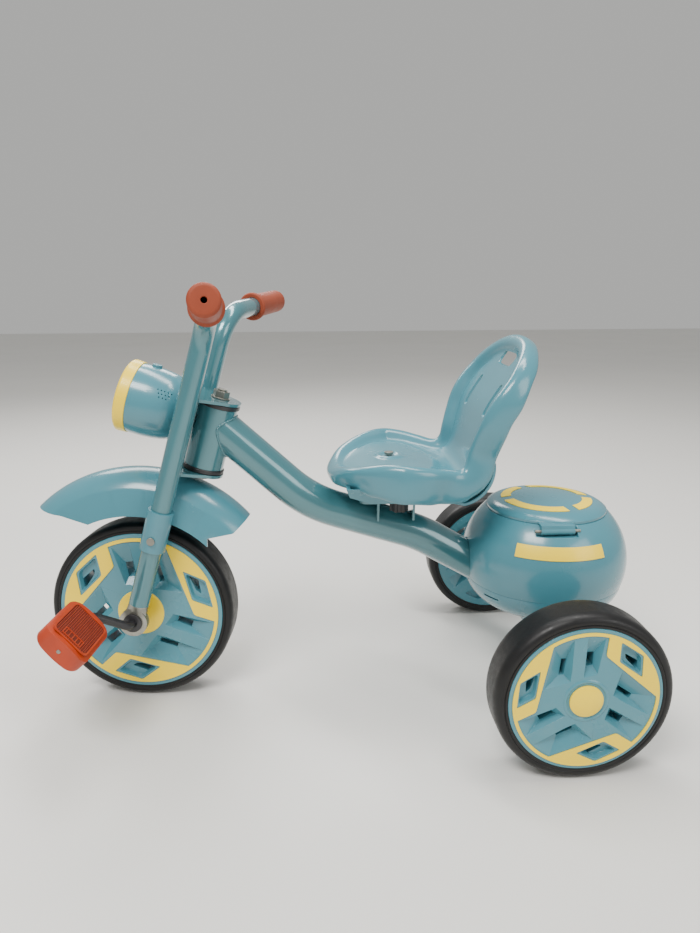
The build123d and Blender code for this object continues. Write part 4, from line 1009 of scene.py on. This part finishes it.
def seat_edge(line, count):
    """Outline of the unrolled seat, as (along, across) points, right round from the front."""
    length = (line[1] - line[0]).length * (len(line) - 1)
    half = []
    for step in range(13):
        turn = radians(PAN_ARC * step / 12)
        ahead = PAN_CENTRE + PAN_RADIUS * cos(turn)
        base = along_of(line, ahead=min(ahead, FRONT_END))
        half.append(Vector((base - max(0.0, ahead - FRONT_END), PAN_RADIUS * sin(turn))))
    for ahead in (170, 150, 130, 112):
        half.append(Vector((along_of(line, ahead=ahead), ramp(ahead, PAN_HALF))))
    for height in (335, 355, 375, 402):
        half.append(Vector((along_of(line, height=height), ramp(height, BACK_HALF))))
    arch_height, arch_half = BACK_HALF[-1]
    top = along_of(line, height=arch_height)
    reach = length + 8 - top
    for step in range(1, 10):
        turn = radians(90 * step / 9)
        across = arch_half * cos(turn) ** 0.9 if step < 9 else 0.0
        half.append(Vector((top + reach * sin(turn) ** 0.94, across)))
    other = [Vector((point.x, -point.y)) for point in reversed(half[1:-1])]
    closed = half + other + [half[0].copy()]
    return smooth_path(closed, count + 1)[:-1]


def seat_mesh(sizes):
    """The seat's moulding: rolled rim and skirt round a dished pan and back, without its openings."""
    line = seat_line()
    step = (line[1] - line[0]).length
    length = step * (len(line) - 1)
    count = sizes.around
    edge = seat_edge(line, count)
    inward = []
    for index in range(count):
        run = edge[(index + 2) % count] - edge[index - 2]
        inward.append(Vector((-run.y, run.x)).normalized())
    if (edge[count // 4] + inward[count // 4] * 5).y > edge[count // 4].y:
        inward = [-normal for normal in inward]
    pan_end = along_of(line, ahead=109)

    def on_line(along):
        """Point and upward normal of the middle line at an arc length, straight on past its ends."""
        spot = min(max(along / step, 0.0), len(line) - 1.001)
        index = int(spot)
        here = line[index].lerp(line[index + 1], spot - index)
        low, high = max(index - 3, 0), min(index + 4, len(line) - 1)
        tangent = (line[high] - line[low]).normalized()
        here = here + tangent * (min(along, 0.0) + max(along - length, 0.0))
        return here, Vector((-tangent.y, tangent.x)) * -1

    def lift(along, across, height):
        """A point of the unrolled seat in the shared frame, at a height over the surface."""
        here, normal = on_line(along)
        spot = here + normal * height
        return Vector((REAR_AXLE.x + spot.x * MM, across * MM, spot.y * MM))

    def ramp_down(value, table):
        """Read a table whose positions fall."""
        return ramp(-value, [(-position, number) for position, number in table])

    def traits(along):
        """Rise of the rim and depth of the skirt at an arc length."""
        here, _ = on_line(along)
        if along < pan_end:
            return ramp_down(here.x, RIM_RISE), ramp_down(here.x, SKIRT_DEPTH)
        return ramp(here.y, BACK_RISE), ramp(here.y, BACK_DEPTH)

    rim = sizes.rim_round / MM
    # Each ring's inset from the edge, and its shares of the skirt's depth and of the rim's rise
    section = (
        (7.0, -0.96, 0), (3.6, -1.0, 0), (1.5, -0.93, 0), (0.4, -0.76, 0), (0.0, -0.52, 0),
        (0.0, -0.3, 0.05), (0.4, -0.1, 0.24), (1.3, 0, 0.5), (3.0, 0, 0.76), (5.4, 0, 0.93),
        (8.6, 0, 1.0), (12.0, 0, 0.97), (15.4, 0, 0.84), (18.4, 0, 0.6),
        (20.8, 0, 0.34), (23.0, 0, 0.14), (rim, 0, 0.0),
    )
    bm = bmesh.new()
    rings = []
    for inset, skirt, rise in section:
        ring = []
        for index in range(count):
            point = edge[index] + inward[index] * inset
            high, deep = traits(point.x)
            ring.append(bm.verts.new(lift(point.x, point.y, skirt * deep + rise * high)))
        rings.append(ring)
    inner = [edge[index] + inward[index] * rim for index in range(count)]
    # The inner rings close on a stretch of the middle line
    low_end, high_end = 92.0, length - 86.0
    screw = along_of(line, ahead=SCREW_AHEAD)
    for level in range(1, sizes.inner_rings + 1):
        share = level / sizes.inner_rings
        ring = []
        for index in range(count):
            target = Vector((min(max(inner[index].x, low_end), high_end), 0.0))
            point = inner[index].lerp(target, share)
            ring.append(bm.verts.new(lift(point.x, point.y, seat_relief(point, screw))))
        rings.append(ring)
    for ring, following in zip(rings, rings[1:]):
        bridge_loops(bm, ring, following)
    bmesh.ops.remove_doubles(bm, verts=bm.verts, dist=2e-5)
    bmesh.ops.dissolve_degenerate(bm, edges=bm.edges, dist=1e-6)
    bmesh.ops.recalc_face_normals(bm, faces=bm.faces)
    pan_spot = lift(screw + 40, 0, 0)
    pan_face = min(bm.faces, key=lambda face: (face.calc_center_median() - pan_spot).length)
    if pan_face.normal.z < 0:
        bmesh.ops.reverse_faces(bm, faces=bm.faces)
    return bm


def seat_relief(point, screw):
    """Height over the seat's middle line: an oval groove, a ring round the screw and a soft dish."""
    height = 0.0
    oval = hypot((point.x - screw) / OVAL_HALF_LONG, point.y / OVAL_HALF_WIDE)
    height -= OVAL_DEPTH * max(0.0, 1 - abs(oval - 1) * 17)
    away = hypot(point.x - screw, point.y)
    if RING_INNER < away < RING_OUTER:
        height += RING_HEIGHT * sin(pi * (away - RING_INNER) / (RING_OUTER - RING_INNER)) ** 2
    height += 2.0 * (abs(point.y) / 90) ** 2.5
    return height


def prism_cutter(name, outline, start, end, axis_frame):
    """A closed prism for cutting, from an outline in a frame's x-y plane, between two heights."""
    bm = bmesh.new()
    low = [bm.verts.new(axis_frame @ Vector((x, y, start))) for x, y in outline]
    high = [bm.verts.new(axis_frame @ Vector((x, y, end))) for x, y in outline]
    bm.faces.new(low)
    bm.faces.new(high)
    bridge_loops(bm, low, high)
    bmesh.ops.recalc_face_normals(bm, faces=bm.faces)
    mesh = bpy.data.meshes.new(name)
    bm.to_mesh(mesh)
    bm.free()
    cutter = bpy.data.objects.new(name, mesh)
    bpy.context.scene.collection.objects.link(cutter)
    return cutter


def cut_with(piece, cutters):
    """Cut prisms out of a piece, keep the result as its mesh and remove the prisms."""
    for cutter in cutters:
        hole = piece.modifiers.new("Cut", "BOOLEAN")
        hole.operation = "DIFFERENCE"
        hole.solver = "EXACT"
        hole.object = cutter
    freeze(piece)
    for cutter in cutters:
        mesh = cutter.data
        bpy.data.objects.remove(cutter)
        bpy.data.meshes.remove(mesh)


def slot_outline(centre, length, width, steps=10):
    """A rounded slot, long in y."""
    points = []
    for end in (1, -1):
        middle = centre[1] + end * (length - width) / 2
        for step in range(steps + 1):
            turn = radians(180 * step / steps) + (0 if end == 1 else pi)
            points.append((centre[0] + width / 2 * cos(turn), middle + width / 2 * sin(turn)))
    return points


# ------------------------------------------------------------------ geometry node trees


def new_geometry_tree(name, inputs):
    """Empty geometry node tree with a geometry input and output and named inputs."""
    tree = bpy.data.node_groups.new(name, "GeometryNodeTree")
    tree.interface.new_socket(name="Geometry", in_out="INPUT", socket_type="NodeSocketGeometry")
    for label, kind, default in inputs:
        socket = tree.interface.new_socket(name=label, in_out="INPUT", socket_type=kind)
        if default is not None:
            socket.default_value = default
    tree.interface.new_socket(name="Geometry", in_out="OUTPUT", socket_type="NodeSocketGeometry")
    start = put(tree, "NodeGroupInput", (-900, 0))
    end = put(tree, "NodeGroupOutput", (900, 0))
    return tree, start, end


def tread_tree():
    """Small blunt studs on every point of a mesh, turned to its normals."""
    tree, start, end = new_geometry_tree(
        "Tread studs",
        (
            ("Stud radius", "NodeSocketFloat", 0.0008),
            ("Stud height", "NodeSocketFloat", 0.0007),
            ("Finish", "NodeSocketMaterial", None),
        ),
    )
    cone = put(tree, "GeometryNodeMeshCone", (-500, -200), {"Vertices": 6})
    top = put(tree, "ShaderNodeMath", (-700, -320), {1: 0.55}, operation="MULTIPLY")
    normal = put(tree, "GeometryNodeInputNormal", (-700, 200))
    align = put(tree, "FunctionNodeAlignRotationToVector", (-450, 200), axis="Z")
    spread = put(tree, "GeometryNodeInstanceOnPoints", (-150, 0))
    real = put(tree, "GeometryNodeRealizeInstances", (150, 0))
    finish = put(tree, "GeometryNodeSetMaterial", (450, 0))
    join(tree, start, "Stud radius", cone, "Radius Bottom")
    join(tree, start, "Stud radius", top, 0)
    join(tree, top, "Value", cone, "Radius Top")
    join(tree, start, "Stud height", cone, "Depth")
    join(tree, start, "Geometry", spread, "Points")
    join(tree, cone, "Mesh", spread, "Instance")
    join(tree, normal, "Normal", align, "Vector")
    join(tree, align, "Rotation", spread, "Rotation")
    join(tree, spread, "Instances", real, "Geometry")
    join(tree, real, "Geometry", finish, "Geometry")
    join(tree, start, "Finish", finish, "Material")
    join(tree, finish, "Geometry", end, "Geometry")
    return tree


def bead_tree():
    """Overlapping weld drops along an edge path."""
    tree, start, end = new_geometry_tree(
        "Weld bead",
        (
            ("Drop radius", "NodeSocketFloat", 0.0016),
            ("Spacing", "NodeSocketFloat", 0.0014),
            ("Seed", "NodeSocketInt", 7),
            ("Finish", "NodeSocketMaterial", None),
        ),
    )
    curve = put(tree, "GeometryNodeMeshToCurve", (-650, 100))
    even = put(tree, "GeometryNodeResampleCurve", (-450, 100), mode="LENGTH")
    drop = put(tree, "GeometryNodeMeshIcoSphere", (-450, -200), {"Subdivisions": 2})
    uneven = put(tree, "FunctionNodeRandomValue", (-450, -380), data_type="FLOAT")
    uneven.inputs[2].default_value = 0.85
    uneven.inputs[3].default_value = 1.12
    spread = put(tree, "GeometryNodeInstanceOnPoints", (-150, 0))
    real = put(tree, "GeometryNodeRealizeInstances", (150, 0))
    finish = put(tree, "GeometryNodeSetMaterial", (450, 0))
    join(tree, start, "Geometry", curve, "Mesh")
    join(tree, curve, "Curve", even, "Curve")
    join(tree, start, "Spacing", even, "Length")
    join(tree, start, "Drop radius", drop, "Radius")
    join(tree, start, "Seed", uneven, "Seed")
    join(tree, even, "Curve", spread, "Points")
    join(tree, drop, "Mesh", spread, "Instance")
    join(tree, uneven, 1, spread, "Scale")
    join(tree, spread, "Instances", real, "Geometry")
    join(tree, real, "Geometry", finish, "Geometry")
    join(tree, start, "Finish", finish, "Material")
    join(tree, finish, "Geometry", end, "Geometry")
    return tree


def grow(name, bm, tree, values, body):
    """Run a geometry node tree on a bmesh, and keep the result as a plain piece on its body."""
    mesh = bpy.data.meshes.new(name)
    bm.to_mesh(mesh)
    bm.free()
    piece = bpy.data.objects.new(name, mesh)
    bpy.context.scene.collection.objects.link(piece)
    modifier = piece.modifiers.new("Grow", "NODES")
    modifier.node_group = tree
    for item in tree.interface.items_tree:
        if item.in_out == "INPUT" and item.name in values:
            modifier[item.identifier] = values[item.name]
    freeze(piece)
    piece.data.shade_smooth()
    settle(piece, body)
    return piece


def meet_cylinder(start, run, on_axis, axis, radius):
    """Distance along a ray to the far side of a cylinder."""
    offset = start - on_axis
    flat = offset - axis * offset.dot(axis)
    way = run - axis * run.dot(axis)
    a, b, c = way.dot(way), 2 * flat.dot(way), flat.dot(flat) - radius**2
    inside = max(b * b - 4 * a * c, 0.0)
    return (-b + sqrt(inside)) / (2 * a)


# ------------------------------------------------------------------ operators


class TRICYCLE_OT_frame(bpy.types.Operator):
    """Dress the welded frame: tubes, brackets, axle and headset"""

    bl_idname = "tricycle.frame"
    bl_label = "Frame"

    def execute(self, context):
        colours = context.scene.tricycle.colours
        enamel = paint(colours)
        for node in ("main_tube", "head_tube"):
            dress_node(node, enamel, 0.0003)
        for node in ("seat_bracket", "axle_carrier"):
            dress_node(node, enamel, 0.0006)
        dress_node("rear_axle", zinc_metal(), 0.0003)
        dress_node("headset_bushes", black_plastic(), 0.0004)
        return {"FINISHED"}


class TRICYCLE_OT_welds(bpy.types.Operator):
    """Lay a weld bead where the main tube meets the head tube"""

    bl_idname = "tricycle.welds"
    bl_label = "Welds"

    def execute(self, context):
        enamel = paint(context.scene.tricycle.colours)
        tree = bead_tree()
        bm = bmesh.new()
        steer = joints["steer"]
        axis = Vector(steer["axis"]).normalized()
        on_axis = Vector(steer["pos_m"])
        # The main tube runs straight from the head tube's axis down to its first bend
        tube_start = on_axis + axis * 0.017
        first_bend = Vector((REAR_AXLE.x + 0.295, 0, 0.2605))
        run = (first_bend - tube_start).normalized()
        across = Vector((0, 1, 0))
        over = run.cross(across).normalized()
        head_r, tube_r = 0.0250, 0.0240
        verts = []
        for step in range(96):
            turn = 2 * pi * step / 96
            offset = across * (tube_r * cos(turn)) + over * (tube_r * sin(turn))
            reach = meet_cylinder(tube_start + offset, run, on_axis, axis, head_r)
            verts.append(bm.verts.new(tube_start + offset + run * reach))
        for index, vert in enumerate(verts):
            bm.edges.new((vert, verts[(index + 1) % len(verts)]))
        values = {"Drop radius": 0.0017, "Spacing": 0.0015, "Seed": 7, "Finish": enamel}
        grow("head_weld", bm, tree, values, "frame")
        return {"FINISHED"}


class TRICYCLE_OT_wheels(bpy.types.Operator):
    """Make the three wheels: moulded hubs, yellow trims, caps and tyres"""

    bl_idname = "tricycle.wheels"
    bl_label = "Wheels"

    def execute(self, context):
        settings = context.scene.tricycle
        sizes, colours = settings.wheels, settings.colours
        for name, joint in WHEEL_JOINTS.items():
            place = wheel_frame(joint)
            wheel = wheel_sizes_of(name)
            body = "front_wheel" if name == "front" else f"{name}_wheel"
            self.hub(name, body, place, wheel, sizes, colours)
            self.tyre(name, body, place, wheel, sizes, colours)
        for node in ("rear_left_cap", "rear_right_cap", "front_hub_discs"):
            dress_node(node, yellow_plastic(colours), 0.0005)
        dress_node("crank_axle", black_plastic(), 0.0004)
        return {"FINISHED"}

    def faces(self, name):
        """Each face's side, the angle of its first patch and its turn."""
        if name == "front":
            return ((1, 30.0, 1), (-1, 30.0, 1))
        if name == "rear_left":
            return ((1, 21.3, -1), (-1, 21.3, -1))
        return ((-1, 158.7, 1), (1, 158.7, 1))

    def hub(self, name, body, place, wheel, sizes, colours):
        """A wheel's moulded hub and the yellow trims on the faces that show."""
        bm = bmesh.new()
        for side, middle, turn in self.faces(name):
            wheel_half(bm, place, side, wheel, middle, turn, sizes)
        outward(bm)
        nodes = ("front_left_hub", "front_right_hub")
        if name != "front":
            nodes = (f"{name}_outer_hub", f"{name}_inner_hub")
        hub = add_piece(f"{name}_wheel_hub", bm, hub_plastic(colours), body, nodes, 24)
        soften(hub, 0.0007, 2, 14)
        freeze(hub)
        nodes = ("front_wheel_trims",) if name == "front" else (f"{name}_trim",)
        shown = self.faces(name) if name == "front" else self.faces(name)[:1]
        for index, (side, middle, turn) in enumerate(shown):
            bm = trim_mesh(place, side, wheel["half"], wheel["disc"], middle, turn, sizes)
            label = f"{name}_wheel_trim_{index + 1}"
            trim = add_piece(label, bm, yellow_plastic(colours), body, nodes, 30)
            soften(trim, 0.00035, 2, 40)
            freeze(trim)

    def tyre(self, name, body, place, wheel, sizes, colours):
        """The tyre, turned about its wheel's axle."""
        bm = bmesh.new()
        tread = 0.013 * wheel["radius"] / FRONT_TYRE["radius"]
        profile = tyre_profile(wheel["radius"], wheel["half"], wheel["disc"], wheel["drum"], tread)
        lathe(bm, place, profile, sizes.facets)
        outward(bm)
        node = "front_tyre" if name == "front" else f"{name}_tyre"
        add_piece(f"{name}_wheel_tyre", bm, tyre_rubber(colours), body, (node,), 40)


class TRICYCLE_OT_steering(bpy.types.Operator):
    """Dress the fork, handlebar, grips, crowns, dropouts and fasteners"""

    bl_idname = "tricycle.steering"
    bl_label = "Steering"

    def execute(self, context):
        colours = context.scene.tricycle.colours
        for side in ("left", "right"):
            dress_node(f"fork_tube_{side}", paint(colours), 0.0003)
            dress_node(f"grip_{side}", grip_rubber(colours), 0.0008)
        for node in ("lower_crown", "upper_crown"):
            dress_node(node, paint(colours), 0.0007)
        for node in ("dropouts", "steering_bolt", "steering_nut", "fender_bolts"):
            dress_node(node, zinc_metal(), 0.0005)
        dress_node("crank_bushes", black_plastic(), 0.0005)
        return {"FINISHED"}


class TRICYCLE_OT_fender(bpy.types.Operator):
    """Dress the front fender"""

    bl_idname = "tricycle.fender"
    bl_label = "Fender"

    def execute(self, context):
        dress_node("fender", blue_plastic(context.scene.tricycle.colours), 0.0009, 35, 35)
        return {"FINISHED"}


class TRICYCLE_OT_pedals(bpy.types.Operator):
    """Dress the two pedals and stud their treads"""

    bl_idname = "tricycle.pedals"
    bl_label = "Pedals"

    # Heights over the spindle, and how far the pedals stand turned back from level
    TREAD_FLOOR, STUD_FOOT = 0.0120, 0.0123
    TILT = radians(-48)

    def execute(self, context):
        orange = pedal_plastic(context.scene.tricycle.colours)
        # Darkened orange: painted shade for the floor between the studs
        dark = painted_tread_shade(context.scene.tricycle.colours)
        tree = tread_tree()
        for side in ("left", "right"):
            dress_node(f"{side}_pedal", orange, 0.0016, 35, 40)
            self.pin(side)
            for face in (1, -1):
                place = self.level(side, face)
                label = f"{side}_pedal_tread_{'upper' if face == 1 else 'lower'}"
                bm = self.tread(place, self.STUD_FOOT)
                values = {"Stud radius": 0.0007, "Stud height": 0.0005, "Finish": orange}
                grow(label, bm, tree, values, f"{side}_pedal")
                floor, rim = self.tread_floor(place, self.TREAD_FLOOR)
                # The floor between the studs wears the painted shade
                add_piece(f"{label}_floor", floor, dark, f"{side}_pedal")
                add_piece(f"{label}_rim", rim, orange, f"{side}_pedal")
        return {"FINISHED"}

    def pin(self, side):
        """The end of the spindle, flush in a pedal's outer end."""
        bm = bmesh.new()
        profile = ((0.0380, 0.0), (0.0380, 0.0024), (0.0399, 0.0024), (0.0403, 0.0018), (0.0404, 0.0))
        lathe(bm, self.level(side, 1), profile, 24, closed=False)
        outward(bm)
        add_piece(f"{side}_pedal_pin", bm, zinc_metal(), f"{side}_pedal")

    def level(self, side, face):
        """A pedal's frame: x across its tread, y outwards along its spindle, z out of the given tread."""
        spindle = Vector(joints[f"{side}_pedal_spin"]["pos_m"])
        axle = Vector(joints[f"{side}_pedal_spin"]["axis"]).normalized()
        across = Matrix.Rotation(self.TILT, 3, axle) @ axle.cross(Vector((0, 0, 1))).normalized()
        above = across.cross(axle) * face
        outward_way = axle * (1 if side == "left" else -1)
        basis = Matrix((across, outward_way, above)).transposed()
        return Matrix.Translation(spindle) @ basis.to_4x4()

    def tread(self, place, height):
        """Points of a pedal's tread, as a grid that leaves out its rounded corners and its slot."""
        bm = bmesh.new()
        pitch, half_long, half_wide, corner = 0.0026, 0.0215, 0.0295, 0.006
        slot_half, slot_near, slot_far = 0.0125, 0.0160, 0.0265
        columns, rows = int(half_long / pitch), int(half_wide / pitch)
        grid = {}
        for column in range(-columns, columns + 1):
            for row in range(-rows, rows + 1):
                x, y = column * pitch, row * pitch
                over = hypot(max(abs(x) - half_long + corner, 0), max(abs(y) - half_wide + corner, 0))
                in_slot = abs(x) < slot_half and slot_near < y < slot_far
                if over <= corner and not in_slot:
                    grid[column, row] = bm.verts.new(place @ Vector((x, y, height)))
        for (column, row), vert in grid.items():
            square = [grid.get((column + dx, row + dy)) for dx, dy in ((0, 0), (1, 0), (1, 1), (0, 1))]
            if all(square):
                bm.faces.new(square)
        above = place.to_3x3() @ Vector((0, 0, 1))
        bm.normal_update()
        flipped = [face for face in bm.faces if face.normal.dot(above) < 0]
        bmesh.ops.reverse_faces(bm, faces=flipped)
        return bm

    def tread_floor(self, place, height):
        """Thin floor between the studs in a painted shade, with a raised border and a ribbed slot."""
        floor, rim = bmesh.new(), bmesh.new()
        foot = height - 0.0003
        plate = rounded_corners(oblong(-0.0228, 0.0228, -0.0308, 0.0308), 0.007, 6)
        border = rounded_corners(oblong(-0.0246, 0.0246, -0.0326, 0.0326), 0.008, 6)
        slab(floor, [plate], place, height - 0.0006, height + 0.0001)
        slab(rim, [border, plate], place, height - 0.0006, height + 0.0011)
        for rib in range(5):
            x = -0.010 + 0.005 * rib
            slab(rim, [oblong(x - 0.0005, x + 0.0005, 0.0165, 0.026)], place, foot, height + 0.0008)
        slot_border = oblong(-0.0135, 0.0135, 0.0152, 0.0272)
        slot_opening = oblong(-0.0122, 0.0122, 0.0163, 0.0261)
        slab(rim, [slot_border, slot_opening], place, foot, height + 0.0010)
        return floor, rim


class TRICYCLE_OT_lamp(bpy.types.Operator):
    """Dress the headlamp and everything inside it"""

    bl_idname = "tricycle.lamp"
    bl_label = "Headlamp"

    def execute(self, context):
        colours = context.scene.tricycle.colours
        dress_node("lamp_body", blue_plastic(colours), 0.0004, 32, 40)
        dress_node("lamp_button", blue_plastic(colours), 0.0005)
        dress_node("lamp_bezel", yellow_plastic(colours), 0.0007)
        dress_node("lamp_lens", lens_glass(), 0.0003)
        dress_node("lamp_reflector", chrome_metal(), 0.0002)
        dress_node("lamp_led", led_white(), 0.0003)
        dress_node("lamp_circuit_board", circuit_green(), 0.0002)
        dress_node("lamp_speaker", black_plastic(), 0.0005)
        dress_node("lamp_bracket", paint(colours), 0.0005)
        dress_node("lamp_screws", zinc_metal(), 0.0004)
        return {"FINISHED"}


class TRICYCLE_OT_seat(bpy.types.Operator):
    """Make the bucket seat, its openings, its base, brace, screws and knobs"""

    bl_idname = "tricycle.seat"
    bl_label = "Seat"

    def execute(self, context):
        settings = context.scene.tricycle
        plastic = blue_plastic(settings.colours)
        shell = add_piece(
            "seat_moulding", seat_mesh(settings.seat), plastic, "seat", ("seat_shell",), 50
        )
        wall = shell.modifiers.new("Wall", "SOLIDIFY")
        wall.thickness = settings.seat.wall
        wall.offset = -1.0
        # Drawn in y and z, and run along x through the seat's back
        through = Matrix(((0, 0, 1, 0), (1, 0, 0, 0), (0, 1, 0, 0), (0, 0, 0, 1)))
        hand = [(y, z) for z, y in slot_outline((0.444, 0.0), 0.056, 0.016)]
        start, end = REAR_AXLE.x + 0.005, REAR_AXLE.x + 0.120
        cutters = [prism_cutter("hand_hole", hand, start, end, through)]
        for side in (1, -1):
            belt = slot_outline((side * 0.048, 0.398), 0.040, 0.010)
            cutters.append(prism_cutter("belt_slot", belt, start, end, through))
        cut_with(shell, cutters)
        shell.data.shade_smooth()
        shell.data.set_sharp_from_angle(angle=radians(50))
        self.base(plastic)
        dress_node("seat_corner_brace", plastic, 0.0012, 35, 35)
        dress_node("seat_fasteners", zinc_metal(), 0.0004)
        for side in ("left", "right"):
            dress_node(f"seat_knob_{side}", black_plastic(), 0.0007)
        return {"FINISHED"}

    def base(self, plastic):
        """The base under the seat, drawn in towards the bracket so that the shell overhangs it."""
        low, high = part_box("seat_base")
        middle = (low + high) / 2
        bm = merged_copy("seat_base")
        for vert in bm.verts:
            depth = (high.z - vert.co.z) / (high.z - low.z)
            draw = 1 - 0.2 * depth**1.5
            vert.co.x = middle.x + (vert.co.x - middle.x) * draw
            vert.co.y = middle.y + (vert.co.y - middle.y) * draw
        base = add_piece("seat_base_shape", bm, plastic, "seat", ("seat_base",), 30)
        soften(base, 0.0012, 2, 35)
        freeze(base)


class TRICYCLE_OT_box(bpy.types.Operator):
    """Dress the round storage box, its tray, bands and hinged lid"""

    bl_idname = "tricycle.box"
    bl_label = "Storage box"

    def execute(self, context):
        colours = context.scene.tricycle.colours
        for node in ("box_lower_shell", "box_upper_shell", "box_tray", "box_lid"):
            dress_node(node, blue_plastic(colours), 0.0006, 32, 35)
        for node in ("box_side_bands", "lid_trim"):
            dress_node(node, yellow_plastic(colours), 0.0003)
        dress_node("lid_hinge_pin", zinc_metal(), 0.0003)
        return {"FINISHED"}


class TRICYCLE_OT_stage(bpy.types.Operator):
    """Set up the plain floor, the soft lights and the camera"""

    bl_idname = "tricycle.stage"
    bl_label = "Stage"

    def execute(self, context):
        settings = context.scene.tricycle
        self.floor(settings)
        self.lights(settings.stage)
        self.camera(context, settings.stage)
        return {"FINISHED"}

    def floor(self, settings):
        """A plain square floor just under the tyres."""
        side = settings.stage.floor_size / 2
        bm = bmesh.new()
        bm.faces.new([bm.verts.new((x, y, -0.0003)) for x, y in oblong(-side, side, -side, side)])
        mesh = bpy.data.meshes.new("floor")
        bm.to_mesh(mesh)
        bm.free()
        mesh.materials.append(
            surface_material(
                "pale_floor", settings.colours.floor, (0.5, 0.62), drift=0.97, drift_scale=1.5,
                grain_scale=160.0, wave_scale=3.0, bump=0.0002, wear=0.0, dust=0.0,
            )
        )
        floor = bpy.data.objects.new("floor", mesh)
        bpy.context.scene.collection.objects.link(floor)

    def lights(self, stage):
        """Soft room light with four rectangular lights, the key's power setting the others'."""
        world = bpy.data.worlds.new("soft_room")
        bpy.context.scene.world = world
        world.use_nodes = True
        sky = world.node_tree.nodes["Background"]
        sky.inputs["Color"].default_value = (0.83, 0.83, 0.81, 1.0)
        sky.inputs["Strength"].default_value = 0.6
        aim = Vector((0, 0, 0.22))
        for name, spot, width, height, share in (
            ("key_light", (0.7, 1.3, 2.2), 1.1, 0.7, 1.0),
            ("fill_light", (-1.8, 1.7, 1.3), 1.2, 1.2, 0.35),
            ("top_light", (-0.3, -0.3, 2.4), 2.4, 0.4, 0.85),
            ("rim_light", (0.6, -1.7, 1.6), 1.6, 0.6, 0.5),
        ):
            data = bpy.data.lights.new(name, "AREA")
            data.shape = "RECTANGLE"
            data.size = width
            data.size_y = height
            data.energy = stage.key_power * share
            data.color = (1.0, 0.985, 0.96)
            lamp = bpy.data.objects.new(name, data)
            lamp.location = spot
            lamp.rotation_euler = (aim - Vector(spot)).to_track_quat("-Z", "Y").to_euler()
            bpy.context.scene.collection.objects.link(lamp)

    def camera(self, context, stage):
        """The camera on the left side, level with the grips."""
        pan, tilt, roll = radians(-3.56), radians(-14.75), radians(-0.21)
        view = Matrix(((-1, 0, 0), (0, 0, 1), (0, 1, 0)))
        view = Matrix.Rotation(pan, 3, "Z") @ view
        view = Matrix.Rotation(tilt, 3, view.col[0]) @ view
        view = Matrix.Rotation(roll, 3, view.col[2]) @ view
        data = bpy.data.cameras.new("camera")
        data.sensor_width = 36.0
        data.sensor_fit = "AUTO"
        data.lens = stage.lens
        data.clip_end = 30.0
        camera = bpy.data.objects.new("camera", data)
        spot = Vector((REAR_AXLE.x + 0.2957, 0.8864, 0.5404))
        camera.matrix_world = Matrix.Translation(spot) @ view.to_4x4()
        bpy.context.scene.collection.objects.link(camera)
        context.scene.camera = camera


PIECE_OPERATORS = (
    TRICYCLE_OT_frame,
    TRICYCLE_OT_welds,
    TRICYCLE_OT_wheels,
    TRICYCLE_OT_steering,
    TRICYCLE_OT_fender,
    TRICYCLE_OT_pedals,
    TRICYCLE_OT_lamp,
    TRICYCLE_OT_seat,
    TRICYCLE_OT_box,
    TRICYCLE_OT_stage,
)


class TRICYCLE_PT_panel(bpy.types.Panel):
    """Tricycle pieces and their settings"""

    bl_idname = "TRICYCLE_PT_panel"
    bl_label = "Tricycle"
    bl_space_type = "VIEW_3D"
    bl_region_type = "UI"
    bl_category = "Tricycle"

    def draw(self, context):
        settings = context.scene.tricycle
        for group in (settings.colours, settings.wheels, settings.seat, settings.stage):
            box = self.layout.box()
            for name in group.__annotations__:
                box.prop(group, name)
        for operator in PIECE_OPERATORS:
            self.layout.operator(operator.bl_idname)


CLASSES = (
    TricycleColours,
    WheelSizes,
    SeatSizes,
    StageSizes,
    TricycleSettings,
    *PIECE_OPERATORS,
    TRICYCLE_PT_panel,
)


def register():
    """Register the classes and the scene's settings."""
    for made in CLASSES:
        bpy.utils.register_class(made)
    bpy.types.Scene.tricycle = PointerProperty(type=TricycleSettings)


def unregister():
    """Take the settings and the classes away again."""
    del bpy.types.Scene.tricycle
    for made in reversed(CLASSES):
        bpy.utils.unregister_class(made)


def main():
    """Make every piece and the stage."""
    register()
    for operator in PIECE_OPERATORS:
        group, name = operator.bl_idname.split(".")
        getattr(getattr(bpy.ops, group), name)()


if __name__ == "__main__":
    main()
